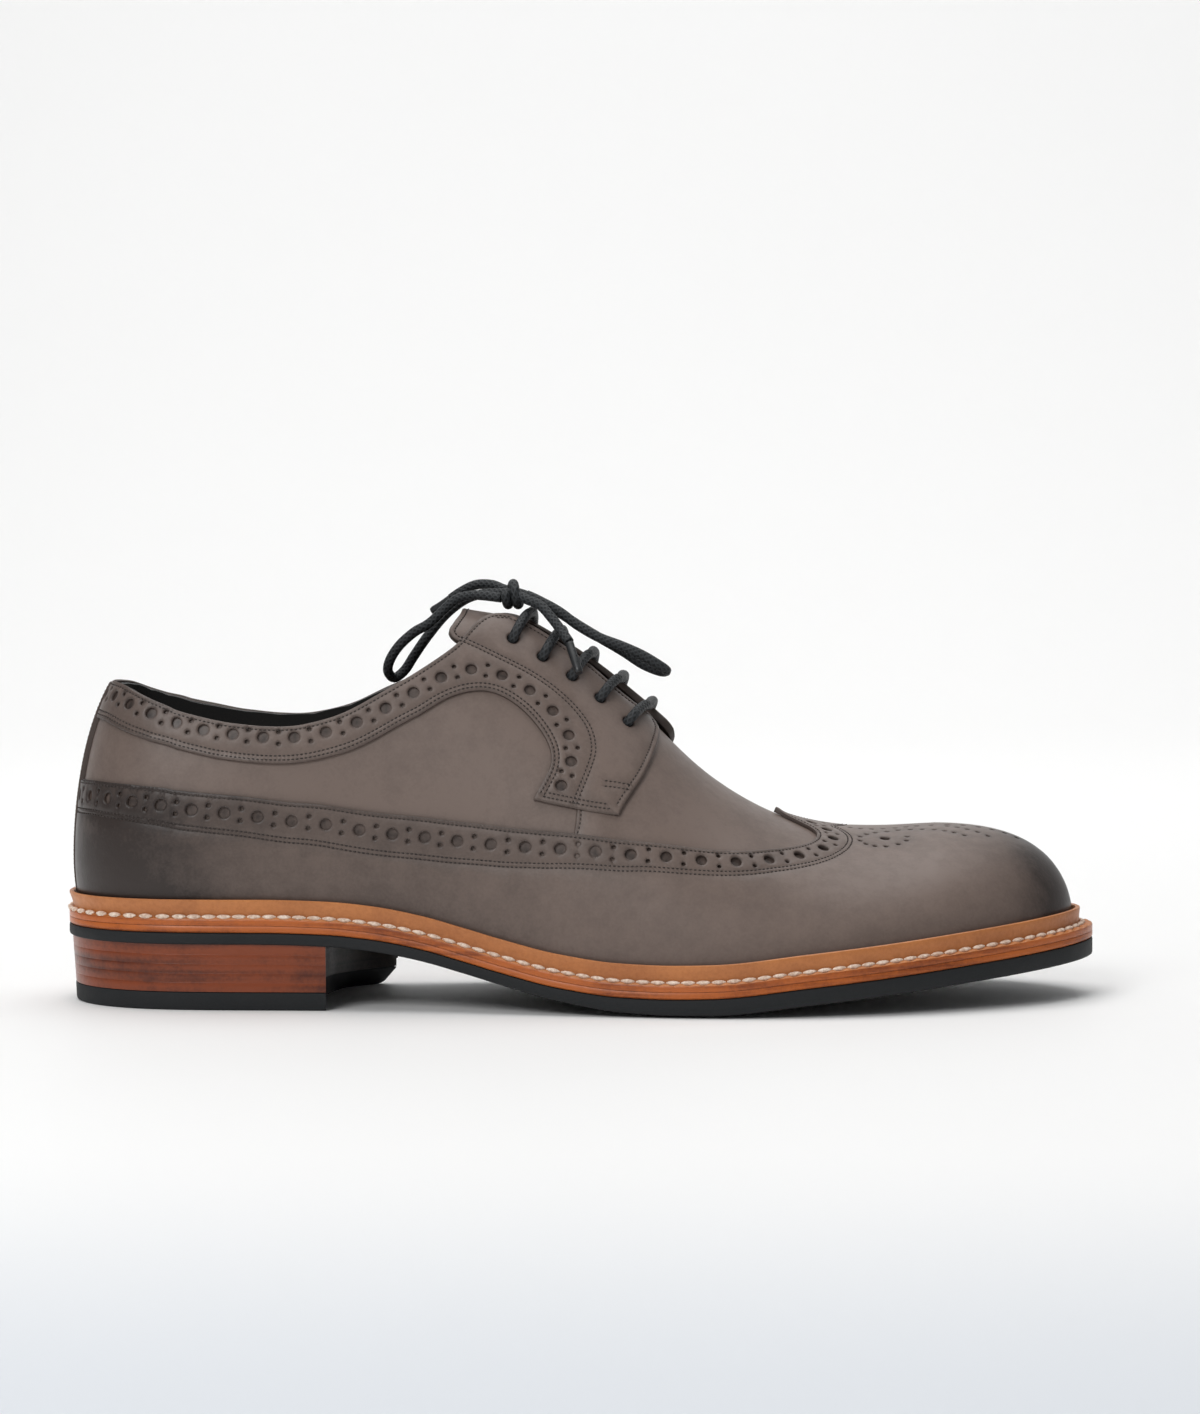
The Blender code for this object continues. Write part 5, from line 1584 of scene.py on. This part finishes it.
def make_studs(last, finish):
    """Low round studs under the forefoot."""
    one = bmesh.new()
    bmesh.ops.create_cone(one, cap_ends=True, segments=20, radius1=3.1, radius2=3.1, depth=1.2)
    rim = [e for e in one.edges if all(v.co.z < 0 for v in e.verts)]
    bmesh.ops.bevel(one, geom=rim, offset=0.3, segments=2, profile=0.5, affect="EDGES", material=-1)
    bmesh.ops.triangulate(one, faces=one.faces)
    places = []
    edge = sole_loop(last, 6.5, 400)
    for row, x in enumerate(np.arange(-6.0, 140.0, 10.0)):
        for y in np.arange(-50.0, 55.0, 11.0):
            y = y + 5.5 * (row % 2)
            if inside(np.array([[x, y]]), edge)[0]:
                places.append((x, y, float(tread(x)) + 0.68))
    places = np.array(places)
    slope = (tread(places[:, 0] + 1) - tread(places[:, 0] - 1)) / 2
    along = np.column_stack([np.ones(len(places)), np.zeros(len(places)), slope])
    along /= np.linalg.norm(along, axis=1, keepdims=True)
    across = np.tile((0.0, 1.0, 0.0), (len(places), 1))
    frames = np.stack([along, across, np.cross(along, across)], axis=1)
    return repeated("sole_studs", one, places, frames, finish)


# ---------------------------------------------------------------- lace

# Route of each loose run, the same points as the solids
FRONT_LOOP = (
    (-17.0, -2.4, 121.0), (-13.4, -3.4, 119.4), (-7.4, -5.0, 116.2), (-1.6, -6.2, 112.0), (4.8, -7.2, 108.4),
    (11.0, -7.8, 106.1), (17.4, -8.2, 103.3), (22.6, -8.0, 100.2), (24.8, -5.6, 98.4), (22.8, -3.2, 98.2),
    (17.8, -2.6, 100.2), (11.6, -2.0, 104.2), (5.4, -1.4, 107.8), (-1.0, -0.8, 111.6), (-7.2, -0.4, 115.6),
    (-12.6, 0.6, 118.6), (-17.0, 1.4, 120.6),
)
BACK_LOOP = (
    (-24.6, -3.6, 120.2), (-30.0, -2.0, 120.8), (-33.6, -0.6, 120.8), (-38.8, 1.0, 119.2), (-46.0, 2.2, 112.6),
    (-51.0, 3.0, 109.6), (-55.6, 3.8, 105.4), (-58.4, 4.8, 101.0), (-59.0, 6.6, 97.6), (-57.2, 9.4, 95.6),
    (-54.2, 11.6, 97.8), (-51.2, 12.0, 102.4), (-47.0, 11.0, 108.4), (-41.6, 9.2, 114.8), (-35.6, 6.6, 119.4),
    (-29.8, 3.0, 121.2), (-24.6, 0.0, 121.4),
)
FRONT_END = (
    (-17.0, -6.4, 119.8), (-12.8, -8.8, 118.0), (-9.4, -11.4, 114.4), (-6.6, -14.2, 110.8), (-4.2, -17.0, 107.5),
)
FRONT_TIP = ((-3.9, -17.6, 106.5), (-2.6, -20.6, 102.6), (-1.2, -23.2, 98.6))
BACK_END = ((-24.2, 4.1, 122.6), (-27.6, 6.0, 123.8), (-32.2, 7.6, 123.8), (-36.4, 9.0, 122.0), (-40.0, 10.2, 119.6))
BACK_TIP = ((-40.4, 10.3, 119.3), (-43.2, 11.2, 117.3), (-46.0, 12.0, 115.6))


def make_bars(last, finish):
    """Straight lacing: each bar rises out of its eyelet, slants over the throat and goes down on the far side."""
    for number, (x, y) in enumerate(EYELETS, 1):
        far = -y - (LATERAL_EDGE - MEDIAL_EDGE)
        middle, reach = (MEDIAL_EDGE - LATERAL_EDGE) / 2, (MEDIAL_EDGE + LATERAL_EDGE) / 2
        across = np.concatenate([[y, y + 0.5], np.linspace(y + 2.2, far - 2.2, 15), [far - 0.5, far]])
        along = x + MEDIAL_AHEAD * np.clip((across - y) / 17.0, 0, 1)
        t = np.clip(1 - np.abs(across - middle) / reach, 0, 1)
        lift = LAYER + LACE / 2 + 0.25 - 1.5 * t * (2 - t)
        lift += 2.0 * smoothly(along, -12, 18) * smoothly(across, 15, 7) * smoothly(across, -16, 4)
        lift[[0, -1]] = -0.2
        lift[[1, -2]] = 1.9
        path = lay(last, np.column_stack([along, across]), lift)
        bar, _ = tube(f"lace_bar_{number}", path, LACE, finish)
        place_on_shoe(bar, "lace_cord", f"lace_bar_{number}")


def make_bow(cord, tip):
    """Two cords: each is one loop that runs through the knot and on to a loose end with its tip."""
    through_front = ((-19.4, 2.2, 121.4), (-21.8, 3.2, 122.0))
    front_route = list(FRONT_LOOP) + list(through_front) + list(BACK_END)
    through_back = ((-21.8, -2.6, 121.6), (-19.4, -4.6, 121.0))
    back_route = list(BACK_LOOP) + list(through_back) + list(FRONT_END)
    for name, route, tip_route, nodes, tip_node in (
            ("lace_front_loop_and_back_end", front_route, BACK_TIP,
             ("lace_loop_front", "lace_end_back"), "aglet_back"),
            ("lace_back_loop_and_front_end", back_route, FRONT_TIP,
             ("lace_loop_back", "lace_end_front"), "aglet_front")):
        piece, line = tube(name, route, LACE, cord)
        place_on_shoe(piece, "lace_cord", *nodes)
        sleeve, _ = tube(tip_node + "_tip", [Vector(route[-1]) * 0.7 + Vector(tip_route[0]) * 0.3] + list(tip_route),
                         LACE - 0.4, tip, ends=(1.0, 0.8))
        place_on_shoe(sleeve, "lace_tip", tip_node)
        length = float(np.linalg.norm(np.diff(line, axis=0), axis=1).sum()) * MM
    turns = np.linspace(-0.55, 1.05, 26) * 2 * math.pi
    wrap = [(-20.6 + 1.5 * a / math.pi - 1.2, -1.2 + 3.9 * math.cos(a), 121.2 + 3.1 * math.sin(a)) for a in turns]
    knot, _ = tube("lace_knot_wrap", wrap, LACE, cord, ends=(0.6, 0.6))
    place_on_shoe(knot, "lace_cord", "lace_knot")


# ---------------------------------------------------------------- room, light and camera

def make_room():
    floor = bmesh.new()
    profile = [(-3.0, 0.0), (1.2, 0.0)] + [(1.2 + 1.2 * math.sin(a), 1.2 - 1.2 * math.cos(a))
                                           for a in np.linspace(0.1, math.pi / 2, 14)] + [(2.4, 4.0)]
    start = [floor.verts.new((-4.0, y, z)) for y, z in profile]
    edges = [floor.edges.new(pair) for pair in zip(start, start[1:])]
    grown = bmesh.ops.extrude_edge_only(floor, edges=edges)["geom"]
    bmesh.ops.translate(floor, vec=(8.0, 0, 0), verts=[g for g in grown if isinstance(g, bmesh.types.BMVert)])
    for face in floor.faces:
        face.smooth = True
    bmesh.ops.recalc_face_normals(floor, faces=floor.faces)
    mesh = bpy.data.meshes.new("pale_floor")
    floor.to_mesh(mesh)
    floor.free()
    r = Recipe("pale floor paper")
    cloud = r.noise(2.0, 3.0, 0.5)
    # painted shade: the floor is painted darker and bluer towards the camera, where the lights fall off
    near = r.span(r.add("ShaderNodeSeparateXYZ", Vector=r.place).outputs["Y"], -0.60, -0.28, 1.0, 0.0)
    paper = r.blend(cloud, (0.915, 0.912, 0.905), (0.935, 0.932, 0.925))
    finish = r.finished(r.blend(near, paper, (0.70, 0.73, 0.77)), 0.6)
    item = as_object("pale_floor", mesh, [finish])


def soft_light(name, at, towards, size, watts):
    lamp = bpy.data.lights.new(name, "AREA")
    lamp.shape = "RECTANGLE"
    lamp.size, lamp.size_y = size
    lamp.energy = watts
    item = bpy.data.objects.new(name, lamp)
    item.location = at
    item.rotation_euler = (Vector(towards) - Vector(at)).to_track_quat("-Z", "Y").to_euler()
    bpy.context.scene.collection.objects.link(item)


def make_light():
    scene = bpy.context.scene
    scene.view_settings.view_transform = "Standard"
    scene.view_settings.look = "None"
    world = bpy.data.worlds.new("studio")
    world.use_nodes = True
    back = world.node_tree.nodes["Background"]
    back.inputs["Color"].default_value = (0.96, 0.98, 1.0, 1.0)
    back.inputs["Strength"].default_value = 0.22
    scene.world = world
    soft_light("softbox_over", (-0.1, 0.15, 1.5), (0.0, 0.0, 0.05), (1.8, 1.3), 18.0)
    soft_light("softbox_front", (-0.9, -1.6, 1.3), (0.0, 0.0, 0.06), (1.0, 0.8), 19.0)
    soft_light("wall_glow", (0.0, 1.0, 1.6), (0.0, 2.3, 0.7), (3.4, 1.0), 20.0)


def make_camera():
    """Square to the lateral side, 1.3 m from the shoe's middle and a little above its collar, aimed slightly down."""
    lens = bpy.data.cameras.new("camera")
    lens.sensor_width = 36.0
    frame_height, focal = 1414.0, 4334.0
    lens.lens = focal * lens.sensor_width / frame_height
    lens.clip_start, lens.clip_end = 0.05, 50.0
    item = bpy.data.objects.new("camera", lens)
    item.location = (0.00495, -1.300, 0.160)
    item.rotation_euler = (math.radians(90.0 - 3.203), 0.0, 0.0)
    bpy.context.scene.collection.objects.link(item)
    bpy.context.scene.camera = item


# ---------------------------------------------------------------- the shoe

def place_on_shoe(piece, slot, *nodes):
    if nodes:
        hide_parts(*nodes)
    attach(piece, "root")


def make_shoe():
    last = Last()
    taupe = calf("taupe calf", (0.178, 0.132, 0.111), (0.030, 0.021, 0.018))
    side = cut_edge("dyed cut edge", (0.045, 0.031, 0.025))
    flesh = fleece("dark lining", (0.004, 0.004, 0.004))
    thread = plain_yarn("upper thread", (0.050, 0.036, 0.030), (0.020, 0.014, 0.012))
    welt_yarn = plain_yarn("welt thread", (0.86, 0.72, 0.60), (0.55, 0.38, 0.28), 900.0)
    tan = welt_tan("storm welt leather", (0.56, 0.205, 0.056), (0.33, 0.105, 0.028))
    edge_leather = dressed_edge("dressed sole edge", (0.47, 0.120, 0.024), (0.17, 0.034, 0.008), 0.32)
    stack_leather = dressed_edge("stacked heel leather", (0.225, 0.044, 0.010), (0.060, 0.011, 0.004), 0.42, 0.34,
                                 300.0, 0.25)
    # the heel's front face: partly a dark-dressed finish, partly painted shade under the arch
    breast_dark_and_shade = dressed_edge("dark heel front with painted shade", (0.034, 0.021, 0.016), (0.010, 0.007, 0.006), 0.4, 0.5)
    rubber = sole_rubber("black sole rubber", (0.010, 0.011, 0.012))
    sock = natural_sock("natural sock leather", (0.42, 0.27, 0.15), (0.30, 0.17, 0.09))
    cord = waxed_cord("black waxed cord", (0.010, 0.011, 0.012))
    tip = tip_plastic("black lace tip", (0.012, 0.013, 0.014))
    cut = [taupe, side]
    holes = wing_holes(last)
    collar_holes = {side: band_holes(last, side) for side in (-1, 1)}
    shade = painted_hole_shade(last, holes + collar_holes[-1] + collar_holes[1])
    vamp, vamp_rows = make_vamp(last, cut, shade)
    place_on_shoe(vamp, "upper_leather")
    wing, wing_rows = make_wing(last, cut, holes)
    place_on_shoe(wing, "upper_leather", "upper")
    stitches = [("vamp_stitches", vamp_rows, 0.66, None), ("wing_stitches", wing_rows, 1.36, None)]
    for side_sign, side_name in ((-1, "lateral"), (1, "medial")):
        place_on_shoe(make_quarter(last, side_sign, cut, shade), "upper_leather")
        band, rows, lipped = make_band(last, side_sign, cut, collar_holes[side_sign])
        place_on_shoe(band, "upper_leather")
        stitches.append(("facing_stitches_" + side_name, rows, 1.36, lipped))
    strip, rows = make_heel_strip(last, cut)
    place_on_shoe(strip, "upper_leather")
    stitches.append(("heel_strip_stitches", rows, 1.92, None))
    for name, rows, lift, shape in stitches:
        place_on_shoe(stitch_rows(name, last, rows, lift, thread, shape=shape), "upper_leather")
    place_on_shoe(make_lining(last, [flesh]), "upper_leather")
    tongue, row, dipped = make_tongue(last, [taupe, side, flesh])
    place_on_shoe(tongue, "tongue_leather", "tongue")
    place_on_shoe(stitch_rows("tongue_stitches", last, [row], -1.95, thread, shape=dipped), "tongue_leather")
    parts = make_sole(last, edge_leather, rubber)
    place_on_shoe(parts["midsole"], "midsole_leather", "midsole")
    place_on_shoe(parts["outsole"], "sole_rubber", "outsole")
    welt, seat, aim = make_welt(last, tan, edge_leather)
    place_on_shoe(welt, "welt_leather", "welt")
    place_on_shoe(make_welt_stitches(seat, aim, welt_yarn), "welt_leather")
    stack, top_piece = make_heel(last, [stack_leather, breast_dark_and_shade], rubber)
    place_on_shoe(stack, "heel_leather", "heel_stack")
    place_on_shoe(top_piece, "sole_rubber", "top_piece")
    place_on_shoe(make_sock(last, sock), "insole_leather", "insole")
    place_on_shoe(make_studs(last, rubber), "sole_rubber")
    make_bars(last, cord)
    make_bow(cord, tip)


make_camera()
make_light()
make_room()
make_shoe()
bpy.context.view_layer.update()
